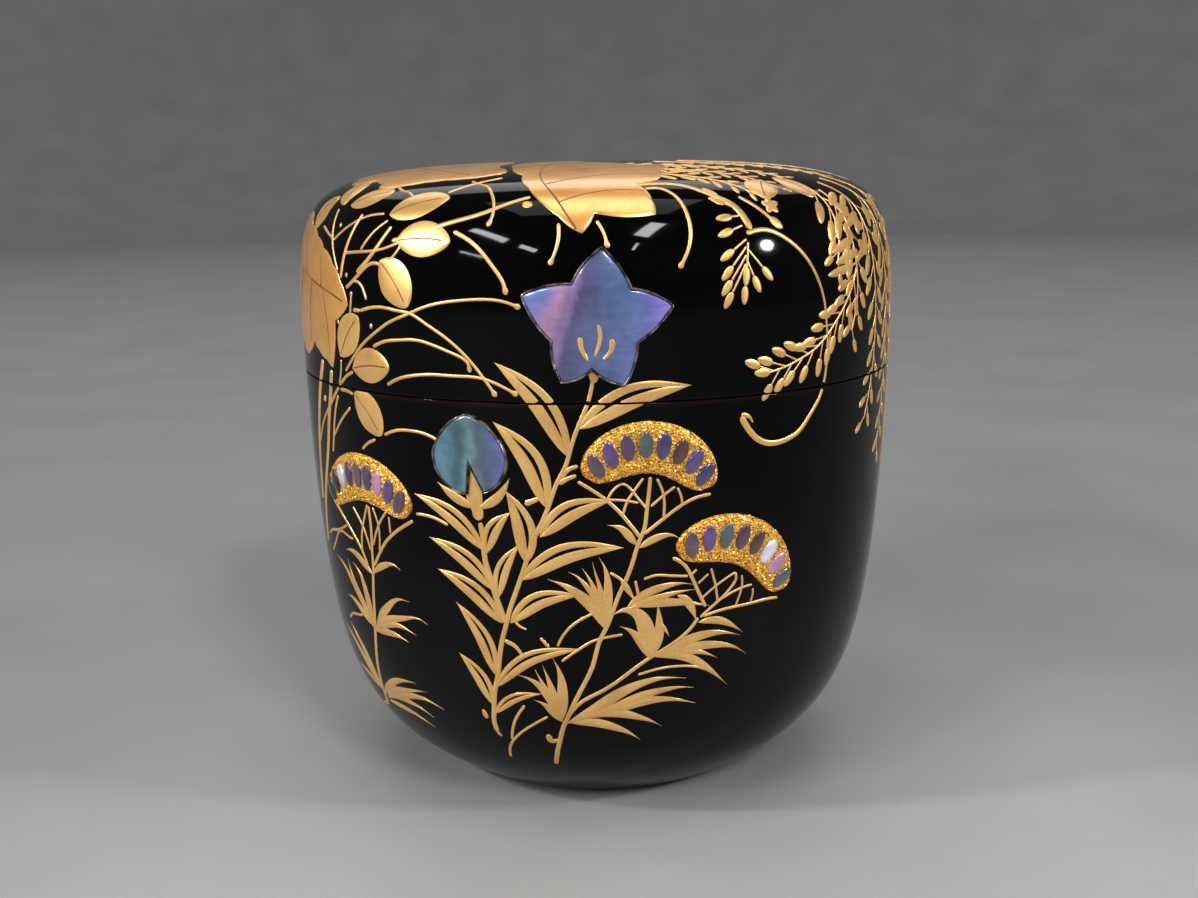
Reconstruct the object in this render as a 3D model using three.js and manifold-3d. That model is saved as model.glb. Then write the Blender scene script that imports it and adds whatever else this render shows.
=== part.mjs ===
import * as THREE from 'three';
import { mergeVertices } from 'three/addons/utils/BufferGeometryUtils.js';
import Module from 'manifold-3d';

// Lacquer tea caddy (natsume): a turned wooden cup with a standing lip, and a domed lid that slips
// over the lip and lifts off. The body carries three bean-shaped beds of built-up lacquer, each set
// with an arc of small shell ovals, and one shell bud. The lid carries a shell bellflower.
// Millimetres, +Z up, origin under the middle of the foot, front towards -Y.
// A place on the outer surface is an azimuth, counted from the front towards +X, and a rise, which
// is the length along the outline above the joint between body and lid.

// Outline of the closed caddy, from the foot to the top of the lid
const totalHeight = 67.6;
const widestRadius = 33;
const widestDrop = 15.6;
const footRadius = 17.7;
const bellyInset = 2.65;
const bellyHeight = 16.4;
const shoulderInset = 2.2;
const shoulderDrop = 4.25;

// Direction of the outline at its stations, in degrees above the horizontal
const footSlope = 31.2;
const bellySlope = 77.3;
const shoulderSlope = 129.5;

// Pull of each curve's two handles, as shares of the curve's own chord
const footCurve = [0.36, 0.465];
const sideCurve = [0.26, 0.263];
const shoulderCurve = [0.216, 0.293];
const domeCurve = [0.15, 0.575];

// Walls, joint and foot
const seamBelowWidest = 6.4;
const seamGap = 0.2;
const lidWall = 1.6;
const lipClearance = 0.2;
const lipThickness = 1.1;
const lipHeight = 5.5;
const lipHeadroom = 0.8;
const lipChamfer = 0.3;
const floorThickness = 2.6;
const footRingWidth = 1.7;
const footRecess = 0.8;

// Shell and raised beds: how deep a shell is let in, how far it stands proud, and its play
const shellDepth = 0.5;
const shellProud = 0.3;
const shellCrown = 0.15;
const shellClearance = 0.15;
const bedHeight = 0.3;
const bedRoot = 0.8;

// Bellflower, seen from the side: five petals between five notches, [degrees, reach from centre]
const bellflowerAzimuth = 0;
const bellflowerAboveSeam = 1.85;
const petalTips = [[10, 7.05], [85, 6.5], [161, 7.1], [240, 6.4], [293, 6.35]];
const petalNotches = [[41, 4.2], [123, 3.9], [204, 4.4], [264, 4.3], [332, 4.15]];
const petalBulge = 0.3;

// Bud: a round spade with a pointed tip and a notch below for the calyx, angles from the tip
const budAzimuth = -22;
const budBelowSeam = 1.35;
const budReach = 3.7;
const budTip = 0.15;
const budPinch = 0.38;
const budSwell = 0.12;
const budNotchSides = [156, 187];
const budNotchTop = 0.5;

// Flower heads: arcs of small ovals on bean-shaped beds that are bent over an arc
const bedHalfWidth = 2.55;
const bedRoundness = 2.6;
const bedEndMargin = 1.5;
const ovalWidth = 1.2;
const ovalLength = 2.3;
const ovalOffset = 0.35;
const ovalLean = 0.65;
const heads = [
  { name: 'upper_head', azimuth: 9.2, drop: 4.3, tilt: -7, bend: 6.3, shells: 8, gap: 0.52 },
  { name: 'lower_head', azimuth: 26.5, drop: 14.5, tilt: -25, bend: 7.45, shells: 8, gap: 0.62 },
  { name: 'left_head', azimuth: -47.7, drop: 9.1, tilt: 2.5, bend: 9.05, shells: 9, gap: 0.45 },
];

// Fineness of the facets
const turns = 48;
const footSteps = 6;
const sideSteps = 4;
const rimSteps = 1;
const shoulderSteps = 5;
const domeSteps = 5;
const innerSideSteps = 5;
const innerFootSteps = 4;
const innerShoulderSteps = 3;
const innerDomeSteps = 3;
const sideStepsPerPetal = 3;
const budSteps = 22;
const bedSteps = 12;
const ovalSteps = 10;
const plateRings = 3;
const bedRings = 2;
const ovalRings = 1;

const wasm = await Module();
wasm.setup();

const radians = THREE.MathUtils.degToRad;

const lacquer = new THREE.MeshStandardMaterial({ color: 0x0d0b0a, roughness: 0.12, metalness: 0 });
const flowerShell = new THREE.MeshStandardMaterial({ color: 0x5f70b4, roughness: 0.2, metalness: 0.1 });
const budShell = new THREE.MeshStandardMaterial({ color: 0x5d84a0, roughness: 0.2, metalness: 0.1 });
const ovalShell = new THREE.MeshStandardMaterial({ color: 0x5a4a80, roughness: 0.25, metalness: 0.1 });

// Outer outline as one path of four curves, each leaving and arriving along its station's slope
function outerOutline() {
  const heading = (slope) => new THREE.Vector2(Math.cos(radians(slope)), Math.sin(radians(slope)));
  const stations = [
    { radius: footRadius, height: 0, slope: footSlope },
    { radius: widestRadius - bellyInset, height: bellyHeight, slope: bellySlope },
    { radius: widestRadius, height: totalHeight - widestDrop, slope: 90 },
    { radius: widestRadius - shoulderInset, height: totalHeight - shoulderDrop, slope: shoulderSlope },
    { radius: 0, height: totalHeight, slope: 180 },
  ].map(({ radius, height, slope }) => ({ at: new THREE.Vector2(radius, height), heading: heading(slope) }));
  const path = new THREE.Path();
  path.moveTo(stations[0].at.x, stations[0].at.y);
  [footCurve, sideCurve, shoulderCurve, domeCurve].forEach((pull, i) => {
    const from = stations[i];
    const to = stations[i + 1];
    const chord = from.at.distanceTo(to.at);
    const first = from.at.clone().addScaledVector(from.heading, pull[0] * chord);
    const second = to.at.clone().addScaledVector(to.heading, -pull[1] * chord);
    path.bezierCurveTo(first.x, first.y, second.x, second.y, to.at.x, to.at.y);
  });
  return path;
}

const outline = outerOutline();
const outlineLength = outline.getLength();
const stationArcs = outline.getCurveLengths();

// Point of the outline at an arc length from the foot, moved along the outward normal by offset
function outlinePoint(arc, offset = 0) {
  const share = THREE.MathUtils.clamp(arc / outlineLength, 0, 1);
  const point = outline.getPoint(share);
  const tangent = outline.getTangent(share);
  return new THREE.Vector2(point.x + tangent.y * offset, point.y - tangent.x * offset);
}

// Arc length at which the outline, moved by offset, reaches a height, found by halving
function arcAtHeight(height, offset = 0) {
  let low = 0;
  let high = stationArcs[2];
  for (let i = 0; i < 40; i += 1) {
    const middle = (low + high) / 2;
    if (outlinePoint(middle, offset).y < height) low = middle;
    else high = middle;
  }
  return (low + high) / 2;
}

// Evenly spaced numbers from first to last, with both ends
function steps(first, last, count) {
  return Array.from({ length: count + 1 }, (_, i) => first + ((last - first) * i) / count);
}

const seamHeight = totalHeight - widestDrop - seamBelowWidest;
const seamArc = arcAtHeight(seamHeight);
const lidBore = outlinePoint(seamArc).x - lidWall;
const lipRadius = lidBore - lipClearance;
const bodyWall = lidWall + lipClearance + lipThickness;
const lipTop = seamHeight + lipHeight;
const floorTop = footRecess + floorThickness;

// Revolved solid from a profile that starts and ends on the axis and keeps the solid on its left
function revolve(profile) {
  return new THREE.LatheGeometry(profile, turns).rotateX(Math.PI / 2);
}

// Points of the outline between two arc lengths, moved by offset, with both ends
function outlineRun(first, last, count, offset = 0) {
  return steps(first, last, count).map((arc) => outlinePoint(arc, offset));
}

// Cup: recessed underside, foot ring, outer side, joint ledge, standing lip, inner side and floor
function bodyGeometry() {
  const ledgeHeight = seamHeight - seamGap / 2;
  const ledgeArc = arcAtHeight(ledgeHeight);
  const innerFootArc = arcAtHeight(floorTop, -bodyWall);
  const innerTopArc = arcAtHeight(ledgeHeight, -bodyWall);
  const mouthRadius = outlinePoint(innerTopArc, -bodyWall).x;
  const lipEdge = Math.min(lipChamfer, lipThickness / 3);
  const [bellyArc] = stationArcs;
  const profile = [
    new THREE.Vector2(0, footRecess),
    new THREE.Vector2(footRadius - footRingWidth - footRecess, footRecess),
    new THREE.Vector2(footRadius - footRingWidth, 0),
    ...outlineRun(0, bellyArc, footSteps),
    ...outlineRun(bellyArc, ledgeArc, sideSteps).slice(1),
    new THREE.Vector2(lipRadius, ledgeHeight),
    new THREE.Vector2(lipRadius, lipTop - lipEdge),
    new THREE.Vector2(lipRadius - lipEdge, lipTop),
    new THREE.Vector2(mouthRadius + lipEdge, lipTop),
    new THREE.Vector2(mouthRadius, lipTop - lipEdge),
    ...outlineRun(innerTopArc, bellyArc, innerSideSteps, -bodyWall),
    ...outlineRun(bellyArc, innerFootArc, innerFootSteps, -bodyWall).slice(1),
    new THREE.Vector2(0, floorTop),
  ];
  return revolve(profile);
}

// Lid: inner dome down to the straight bore, the rim, then the outer side up to the top
function lidGeometry() {
  const rimHeight = seamHeight + seamGap / 2;
  const rimArc = arcAtHeight(rimHeight);
  const boreTop = lipTop + lipHeadroom;
  const [, widestArc, shoulderArc] = stationArcs;
  const innerStart = Math.max(widestArc, arcAtHeight(boreTop)) + lipHeadroom;
  const profile = [
    ...outlineRun(outlineLength, shoulderArc, innerDomeSteps, -lidWall),
    ...outlineRun(shoulderArc, innerStart, innerShoulderSteps, -lidWall).slice(1),
    new THREE.Vector2(lidBore, boreTop),
    new THREE.Vector2(lidBore, rimHeight),
    ...outlineRun(rimArc, widestArc, rimSteps),
    ...outlineRun(widestArc, shoulderArc, shoulderSteps).slice(1),
    ...outlineRun(shoulderArc, outlineLength, domeSteps).slice(1),
  ];
  // Both ends are meant to lie exactly on the axis
  profile.at(0).x = 0;
  profile.at(-1).x = 0;
  return revolve(profile);
}

// Seat on the outer surface: turns millimetres right and up of a middle point into a place in space
function seatAt(azimuth, rise, tilt = 0) {
  const turn = new THREE.Vector2();
  const origin = new THREE.Vector2(0, 0);
  return (right, up, height) => {
    turn.set(right, up).rotateAround(origin, radians(tilt));
    const arc = seamArc + rise + turn.y;
    const place = outlinePoint(arc, height);
    const angle = radians(azimuth) + turn.x / outlinePoint(arc).x;
    return new THREE.Vector3(place.x * Math.sin(angle), -place.x * Math.cos(angle), place.y);
  };
}

// Slab that follows the surface under a closed outline drawn counterclockwise about its seat
function slab(seat, edge, bottom, top, crown, rings) {
  const count = edge.length;
  const corners = [];
  const faces = [];
  const ring = (share, height) => {
    const start = corners.length;
    edge.forEach(([right, up]) => corners.push(seat(right * share, up * share, height)));
    return start;
  };
  const stitch = (outer, inner) => {
    for (let i = 0; i < count; i += 1) {
      const j = (i + 1) % count;
      faces.push(outer + i, outer + j, inner + j, outer + i, inner + j, inner + i);
    }
  };
  const shares = steps(1, 0, rings).slice(0, -1);
  const topRings = shares.map((share) => ring(share, top + crown * (1 - share * share)));
  const bottomRings = shares.map((share) => ring(share, bottom));
  const topMiddle = corners.push(seat(0, 0, top + crown)) - 1;
  const bottomMiddle = corners.push(seat(0, 0, bottom)) - 1;
  stitch(bottomRings[0], topRings[0]);
  for (let k = 1; k < rings; k += 1) {
    stitch(topRings[k - 1], topRings[k]);
    stitch(bottomRings[k], bottomRings[k - 1]);
  }
  for (let i = 0; i < count; i += 1) {
    const j = (i + 1) % count;
    faces.push(topRings[rings - 1] + i, topRings[rings - 1] + j, topMiddle);
    faces.push(bottomRings[rings - 1] + j, bottomRings[rings - 1] + i, bottomMiddle);
  }
  const geometry = new THREE.BufferGeometry().setFromPoints(corners);
  geometry.setIndex(faces);
  return geometry;
}

// Outline grown by a play on all sides, each point moved along the mean of its two edge normals
function grow(edge, play) {
  return edge.map(([right, up], i) => {
    const before = edge[(i + edge.length - 1) % edge.length];
    const after = edge[(i + 1) % edge.length];
    const along = new THREE.Vector2(after[0] - before[0], after[1] - before[1]).normalize();
    return [right + along.y * play, up - along.x * play];
  });
}

// Point right and up of a middle from an angle above the right and a reach
function polar([degrees, reach]) {
  return [reach * Math.cos(radians(degrees)), reach * Math.sin(radians(degrees))];
}

// Bellflower outline: each side runs from notch to tip or tip to notch, bowed out by the bulge
function bellflowerEdge() {
  const corners = petalTips.flatMap((tip, i) => [polar(tip), polar(petalNotches[i])]);
  return corners.flatMap((from, i) => {
    const to = corners[(i + 1) % corners.length];
    const length = Math.hypot(to[0] - from[0], to[1] - from[1]);
    return steps(0, 1, sideStepsPerPetal).slice(0, -1).map((share) => {
      const bow = (petalBulge * 4 * share * (1 - share)) / length;
      return [
        from[0] + (to[0] - from[0]) * share + (to[1] - from[1]) * bow,
        from[1] + (to[1] - from[1]) * share - (to[0] - from[0]) * bow,
      ];
    });
  });
}

// Bud outline: nearly a circle, drawn in beside the tip, swelling below, open to the notch
function budEdge() {
  const [rightSide, leftSide] = budNotchSides;
  const reachAt = (degrees) => {
    const fromTip = Math.abs(degrees);
    const tipPart = budTip * (1 - fromTip / 90) - budPinch * Math.sin(radians(2 * fromTip));
    const footPart = budSwell * Math.sin(radians(2 * (fromTip - 90)));
    return budReach + (fromTip < 90 ? tipPart : footPart);
  };
  const rim = steps(leftSide - 360, rightSide, budSteps).reverse().map((degrees) => {
    const reach = reachAt(degrees);
    return [reach * Math.sin(radians(degrees)), reach * Math.cos(radians(degrees))];
  });
  return [...rim, [0, -budNotchTop]];
}

// Bean outline: a band of varying width along an arc that is bent about a point below it
function bedEdge(head) {
  const half = ovalReach(head) * (head.bend / (head.bend + ovalOffset)) + bedEndMargin;
  const side = (sign) => steps(-Math.PI / 2, Math.PI / 2, bedSteps).slice(1).map((phase) => {
    const share = Math.sin(phase) * sign;
    const width = bedHalfWidth * (1 - Math.abs(share) ** bedRoundness) ** (1 / bedRoundness);
    const reach = head.bend - sign * width;
    const angle = (share * half) / head.bend;
    return [reach * Math.sin(angle), reach * Math.cos(angle) - head.bend];
  });
  return [...side(1), ...side(-1)];
}

// Half of the arc length that a head's row of ovals takes, from the first centre to the last
function ovalReach(head) {
  return ((head.shells - 1) / 2) * (ovalWidth + head.gap);
}

// Ovals of a head: evenly spaced along an arc just outside the bed's middle line, leaning outwards
function ovalEdges(head) {
  const radius = head.bend + ovalOffset;
  return steps(-ovalReach(head), ovalReach(head), head.shells - 1).map((reach) => {
    const angle = reach / radius;
    const middle = [radius * Math.sin(angle), radius * Math.cos(angle) - head.bend];
    const lean = -angle * ovalLean;
    const edge = Array.from({ length: ovalSteps }, (_, i) => {
      const phase = (i / ovalSteps) * 2 * Math.PI;
      const across = (ovalWidth / 2) * Math.cos(phase);
      const along = (ovalLength / 2) * Math.sin(phase);
      return [
        across * Math.cos(lean) - along * Math.sin(lean),
        across * Math.sin(lean) + along * Math.cos(lean),
      ];
    });
    return { middle, edge };
  });
}

// Closed geometry as a solid for joining and cutting, with pole triangles of no area left out
function toSolid(geometry) {
  const bare = geometry.clone();
  bare.deleteAttribute('normal');
  bare.deleteAttribute('uv');
  const merged = mergeVertices(bare);
  const index = merged.index.array;
  const kept = [];
  for (let i = 0; i < index.length; i += 3) {
    const [a, b, c] = [index[i], index[i + 1], index[i + 2]];
    if (a !== b && b !== c && c !== a) kept.push(a, b, c);
  }
  const vertProperties = new Float32Array(merged.attributes.position.array);
  return new wasm.Manifold(new wasm.Mesh({ numProp: 3, vertProperties, triVerts: new Uint32Array(kept) }));
}

// Solid as a named mesh with its material
function toMesh(solid, material, name) {
  const { vertProperties, triVerts } = solid.getMesh();
  const geometry = new THREE.BufferGeometry();
  geometry.setAttribute('position', new THREE.BufferAttribute(new Float32Array(vertProperties), 3));
  geometry.setIndex(new THREE.BufferAttribute(new Uint32Array(triVerts), 1));
  geometry.computeVertexNormals();
  const mesh = new THREE.Mesh(geometry, material);
  mesh.name = name;
  return mesh;
}

// Shell let into a pocket: the pocket is the shell's own outline grown by the play, and deeper by it
function inlay(seat, edge, base, rings) {
  const shell = slab(seat, edge, base - shellDepth, base + shellProud, shellCrown, rings);
  const floor = base - shellDepth - shellClearance;
  const above = base + shellProud + shellCrown + shellClearance;
  const pocket = slab(seat, grow(edge, shellClearance), floor, above, 0, rings);
  return { shell: toSolid(shell), pocket: toSolid(pocket) };
}

const group = new THREE.Group();

const flowerEdge = bellflowerEdge();
const flowerFoot = Math.max(...flowerEdge.map(([, up]) => -up));
const flowerSeat = seatAt(bellflowerAzimuth, bellflowerAboveSeam + flowerFoot);
const flower = inlay(flowerSeat, flowerEdge, 0, plateRings);
group.add(toMesh(toSolid(lidGeometry()).subtract(flower.pocket), lacquer, 'lid'));
group.add(toMesh(flower.shell, flowerShell, 'bellflower_shell'));

const bud = inlay(seatAt(budAzimuth, -budBelowSeam - budReach - budTip), budEdge(), 0, plateRings);
group.add(toMesh(bud.shell, budShell, 'bud_shell'));

let body = toSolid(bodyGeometry()).subtract(bud.pocket);
heads.forEach((head) => {
  const bedSeat = seatAt(head.azimuth, -head.drop, head.tilt);
  body = body.add(toSolid(slab(bedSeat, bedEdge(head), -bedRoot, bedHeight, 0, bedRings)));
  ovalEdges(head).forEach(({ middle, edge }, i) => {
    const seat = (right, up, height) => bedSeat(middle[0] + right, middle[1] + up, height);
    const oval = inlay(seat, edge, bedHeight, ovalRings);
    body = body.subtract(oval.pocket);
    group.add(toMesh(oval.shell, ovalShell, `${head.name}_shell_${i + 1}`));
  });
});
group.add(toMesh(body, lacquer, 'caddy_body'));

export default group;
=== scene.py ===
import math

import bpy
import numpy as np
from mathutils import Euler, Matrix, Vector


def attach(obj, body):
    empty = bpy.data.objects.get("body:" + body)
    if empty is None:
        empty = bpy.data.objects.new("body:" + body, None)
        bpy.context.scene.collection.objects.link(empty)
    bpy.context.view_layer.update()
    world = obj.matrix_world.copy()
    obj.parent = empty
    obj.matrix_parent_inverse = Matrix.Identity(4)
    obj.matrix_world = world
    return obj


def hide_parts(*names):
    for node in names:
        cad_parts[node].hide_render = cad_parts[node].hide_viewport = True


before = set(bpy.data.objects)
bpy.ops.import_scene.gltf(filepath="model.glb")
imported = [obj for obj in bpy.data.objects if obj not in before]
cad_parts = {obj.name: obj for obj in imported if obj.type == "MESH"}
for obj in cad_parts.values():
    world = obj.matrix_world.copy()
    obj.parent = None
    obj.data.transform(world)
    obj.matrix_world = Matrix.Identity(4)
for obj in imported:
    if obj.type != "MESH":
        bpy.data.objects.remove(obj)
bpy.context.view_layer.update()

# Body: a turned wooden cup under many coats of black lacquer, rubbed down and polished to a mirror. It stands
# on a low foot ring, and a thin lip stands up inside the joint to hold the lid.
MILLIMETRE = 0.001
OUTLINE_STATIONS = [
    (17.7, 0.0, 31.2), (30.35, 16.4, 77.3), (33.0, 52.0, 90.0), (30.8, 63.35, 129.5), (0.0, 67.6, 180.0),
]
OUTLINE_PULLS = [(0.36, 0.465), (0.26, 0.263), (0.216, 0.293), (0.15, 0.575)]
SEAM_HEIGHT = 45.6
SEAM_GAP = 0.11
LID_WALL = 1.6
LIP_CLEARANCE = 0.2
LIP_THICKNESS = 1.1
LIP_TOP = SEAM_HEIGHT + 5.5
LIP_ROUNDING = 0.3
LIP_STRAIGHT = 2.0
JOINT_ROUNDING = 0.07
FOOT_RING_WIDTH = 1.7
FOOT_RECESS = 0.8
FOOT_ROUNDING = 0.35
FLOOR_TOP = FOOT_RECESS + 2.6
FLOOR_ROUNDING = 2.2
CURVE_STEPS = 800
TURNS = 240


def outline_table():
    """Turned outline from foot to top. Formula: four cubic Bezier curves, each leaving and arriving along its
    station's slope with handles that are a share of the chord; returns arc, radius, height and outward normal."""
    runs = []
    for (r0, z0, a0), (r1, z1, a1), (p0, p1) in zip(OUTLINE_STATIONS, OUTLINE_STATIONS[1:], OUTLINE_PULLS):
        ends = np.array([(r0, z0), (r1, z1)])
        chord = np.hypot(*(ends[1] - ends[0]))
        leave = ends[0] + p0 * chord * np.array([math.cos(math.radians(a0)), math.sin(math.radians(a0))])
        arrive = ends[1] - p1 * chord * np.array([math.cos(math.radians(a1)), math.sin(math.radians(a1))])
        t = np.linspace(0, 1, CURVE_STEPS + 1)[:, None]
        first, second = (1 - t) ** 3 * ends[0], 3 * t * (1 - t) ** 2 * leave
        runs.append(first + second + 3 * t * t * (1 - t) * arrive + t**3 * ends[1])
    points = np.concatenate([runs[0]] + [run[1:] for run in runs[1:]])
    arc = np.concatenate([[0], np.cumsum(np.hypot(*np.diff(points, axis=0).T))])
    tangent = np.gradient(points, arc, axis=0)
    tangent /= np.hypot(*tangent.T)[:, None]
    return arc, points[:, 0], points[:, 1], tangent[:, 1], -tangent[:, 0]


ARC, RADIUS, HEIGHT, NORMAL_R, NORMAL_Z = outline_table()
WIDEST = 2 * CURVE_STEPS
SEAM_ARC = float(np.interp(SEAM_HEIGHT, HEIGHT[: WIDEST + 1], ARC[: WIDEST + 1]))
TOTAL_ARC = float(ARC[-1])


def outline(arc, lift=0.0):
    """Radius and height of the outline at an arc length, moved out along its normal by lift."""
    radius = np.interp(arc, ARC, RADIUS) + lift * np.interp(arc, ARC, NORMAL_R)
    height = np.interp(arc, ARC, HEIGHT) + lift * np.interp(arc, ARC, NORMAL_Z)
    return radius, height


def arc_at(height, lift=0.0):
    """Arc length at which the outline, moved by lift, reaches a height on its way up to the widest place."""
    arcs = ARC[: WIDEST + 1]
    return float(np.interp(height, outline(arcs, lift)[1], arcs))


def outline_run(first, last, count, lift=0.0):
    """Points of the moved outline between two arc lengths, evenly spaced, with both ends."""
    return np.stack(outline(np.linspace(first, last, count), lift), axis=1)


def eased(points, radius, steps=4):
    """Polygon whose corner points are rounded. Formula: each corner becomes a quadratic Bezier curve that starts
    and ends the given length before and after it."""
    points = np.asarray(points, float)
    out = [points[:1]]
    for before, at, after in zip(points, points[1:], points[2:]):
        back, ahead = before - at, after - at
        start = at + back / np.hypot(*back) * min(radius, np.hypot(*back) / 2.01)
        end = at + ahead / np.hypot(*ahead) * min(radius, np.hypot(*ahead) / 2.01)
        t = np.linspace(0, 1, steps + 1)[:, None]
        out.append((1 - t) ** 2 * start + 2 * t * (1 - t) * at + t * t * end)
    return np.concatenate(out + [points[-1:]])


def solid_piece(name, points, faces, material, slot, crease=32.0):
    """Mesh object on the caddy. points are an array in millimetres, faces a list of whole-number arrays of
    triangles or quads; edges that bend by more than crease degrees stay sharp."""
    mesh = bpy.data.meshes.new(name)
    mesh.vertices.add(len(points))
    mesh.vertices.foreach_set("co", (np.asarray(points) * MILLIMETRE).astype(np.float32).ravel())
    faces = [f for f in faces if len(f)]
    sizes = np.concatenate([np.full(len(f), f.shape[1]) for f in faces])
    corners = np.concatenate([f.ravel() for f in faces])
    mesh.loops.add(len(corners))
    mesh.loops.foreach_set("vertex_index", corners.astype(np.int32))
    mesh.polygons.add(len(sizes))
    mesh.polygons.foreach_set("loop_start", (np.cumsum(sizes) - sizes).astype(np.int32))
    mesh.update(calc_edges=True)
    mesh.shade_smooth()
    mesh.set_sharp_from_angle(angle=math.radians(crease))
    mesh.materials.append(material)
    made = bpy.data.objects.new(name, mesh)
    bpy.context.scene.collection.objects.link(made)
    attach(made, "root")
    return made


def turned(profile):
    """Points and faces of a turned solid. Formula: the profile, which starts and ends on the axis and keeps the
    solid on its left, is carried round the axis in equal steps, and each end closes in a fan of triangles."""
    count = len(profile) - 2
    angle = np.linspace(0, 2 * np.pi, TURNS, endpoint=False)
    radius, height = profile[1:-1, 0], profile[1:-1, 1]
    rings = np.stack([
        radius[:, None] * np.sin(angle), -radius[:, None] * np.cos(angle), height[:, None] + 0 * angle,
    ], -1)
    points = np.concatenate([rings.reshape(-1, 3), [[0, 0, profile[0, 1]], [0, 0, profile[-1, 1]]]])
    index = np.arange(count * TURNS).reshape(count, TURNS)
    ahead = np.roll(index, -1, axis=1)
    quads = np.stack([index[:-1], ahead[:-1], ahead[1:], index[1:]], -1).reshape(-1, 4)
    first = np.stack([ahead[0], index[0], np.full(TURNS, count * TURNS)], -1)
    last = np.stack([index[-1], ahead[-1], np.full(TURNS, count * TURNS + 1)], -1)
    return points, [quads, first, last]


def shader(name):
    """New node material, its nodes, its links and its main shader."""
    made = bpy.data.materials.new(name)
    made.use_nodes = True
    tree = made.node_tree
    return made, tree.nodes, tree.links, tree.nodes["Principled BSDF"]


def node(nodes, kind, **settings):
    """New node of a kind; settings name its properties, or its inputs where they begin with in_."""
    made = nodes.new(kind)
    for key, value in settings.items():
        if key.startswith("in_"):
            made.inputs[key[3:].replace("_", " ")].default_value = value
        else:
            setattr(made, key, value)
    return made


def ramp(nodes, stops):
    """Colour ramp node with its stops as (place, (red, green, blue))."""
    made = nodes.new("ShaderNodeValToRGB")
    elements = made.color_ramp.elements
    while len(elements) < len(stops):
        elements.new(0.5)
    for element, (place, colour) in zip(elements, stops):
        element.position = place
        element.color = (*colour, 1.0)
    return made


def noise(nodes, links, place, scale, detail, **settings):
    """Noise node that reads a texture coordinate node's object coordinates."""
    made = node(nodes, "ShaderNodeTexNoise", in_Scale=scale, in_Detail=detail, **settings)
    links.new(place.outputs["Object"], made.inputs["Vector"])
    return made


def shade_by(nodes, links, main, share, stops):
    """Base colour from a ramp that follows an output."""
    shade = ramp(nodes, stops)
    links.new(share, shade.inputs["Fac"])
    links.new(shade.outputs["Color"], main.inputs["Base Color"])


def relief_by(nodes, links, main, height, strength, distance):
    """Bump on the shader that follows an output."""
    bump = node(nodes, "ShaderNodeBump", in_Strength=strength, in_Distance=distance)
    links.new(height, bump.inputs["Height"])
    links.new(bump.outputs["Normal"], main.inputs["Normal"])


# Where the coats have worn to brown, along the height: at the foot and on both sides of the joint
WEAR_SPAN = 0.0683
UNWORN, RUBBED, WORN = (0, 0, 0), (0.8, 0.8, 0.8), (1, 1, 1)
WEAR_STOPS = [
    (0.0, WORN), (0.006, WORN), (0.012, UNWORN), (0.6635, UNWORN), (0.6655, RUBBED), (0.6668, UNWORN),
    (0.6676, UNWORN), (0.669, RUBBED), (0.671, UNWORN),
]


def black_lacquer():
    """Polished black lacquer: a near-black base that thins to brown at the worn joint and foot, faint uneven
    polish, hairline rubbing marks and the slow waves of a hand-laid coat."""
    made, nodes, links, main = shader("black_lacquer")
    main.inputs["IOR"].default_value = 1.45
    main.inputs["Specular IOR Level"].default_value = 0.14
    place = node(nodes, "ShaderNodeTexCoord")
    split = node(nodes, "ShaderNodeSeparateXYZ")
    links.new(place.outputs["Object"], split.inputs["Vector"])
    # Brown shows where the coats wear thin: within a fraction of a millimetre of the joint and under the foot
    wear = ramp(nodes, WEAR_STOPS)
    scaled = node(nodes, "ShaderNodeMath", operation="DIVIDE")
    scaled.inputs[1].default_value = WEAR_SPAN
    links.new(split.outputs["Z"], scaled.inputs[0])
    links.new(scaled.outputs["Value"], wear.inputs["Fac"])
    patches = noise(nodes, links, place, 420.0, 6.0, in_Roughness=0.6)
    broken = node(nodes, "ShaderNodeMath", operation="MULTIPLY")
    links.new(wear.outputs["Color"], broken.inputs[0])
    links.new(patches.outputs["Fac"], broken.inputs[1])
    colour = node(nodes, "ShaderNodeMix", data_type="RGBA")
    colour.inputs["A"].default_value = (0.0012, 0.001, 0.0012, 1)
    colour.inputs["B"].default_value = (0.055, 0.02, 0.008, 1)
    links.new(broken.outputs["Value"], colour.inputs["Factor"])
    links.new(colour.outputs["Result"], main.inputs["Base Color"])
    # Polish: cloudy differences and fine dust, from a mirror to a slightly softer shine
    cloud = noise(nodes, links, place, 90.0, 8.0, in_Roughness=0.65)
    polish = node(
        nodes, "ShaderNodeMapRange", in_From_Min=0.35, in_From_Max=0.8, in_To_Min=0.03, in_To_Max=0.11,
    )
    links.new(cloud.outputs["Fac"], polish.inputs["Value"])
    links.new(polish.outputs["Result"], main.inputs["Roughness"])
    # Waves of the coat, over it the hairlines of rubbing, which run round the turned form
    wave = noise(nodes, links, place, 55.0, 2.0)
    lacquer_marks = node(nodes, "ShaderNodeMapping")
    lacquer_marks.inputs["Scale"].default_value = (260, 260, 5200)
    links.new(place.outputs["Object"], lacquer_marks.inputs["Vector"])
    hair = node(nodes, "ShaderNodeTexNoise", in_Scale=1.0, in_Detail=3.0)
    links.new(lacquer_marks.outputs["Vector"], hair.inputs["Vector"])
    slow = node(nodes, "ShaderNodeBump", in_Strength=0.05, in_Distance=0.0006)
    links.new(wave.outputs["Fac"], slow.inputs["Height"])
    fine = node(nodes, "ShaderNodeBump", in_Strength=0.012, in_Distance=0.00004)
    links.new(hair.outputs["Fac"], fine.inputs["Height"])
    links.new(slow.outputs["Normal"], fine.inputs["Normal"])
    links.new(fine.outputs["Normal"], main.inputs["Normal"])
    return made


BLACK_LACQUER = black_lacquer()


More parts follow.
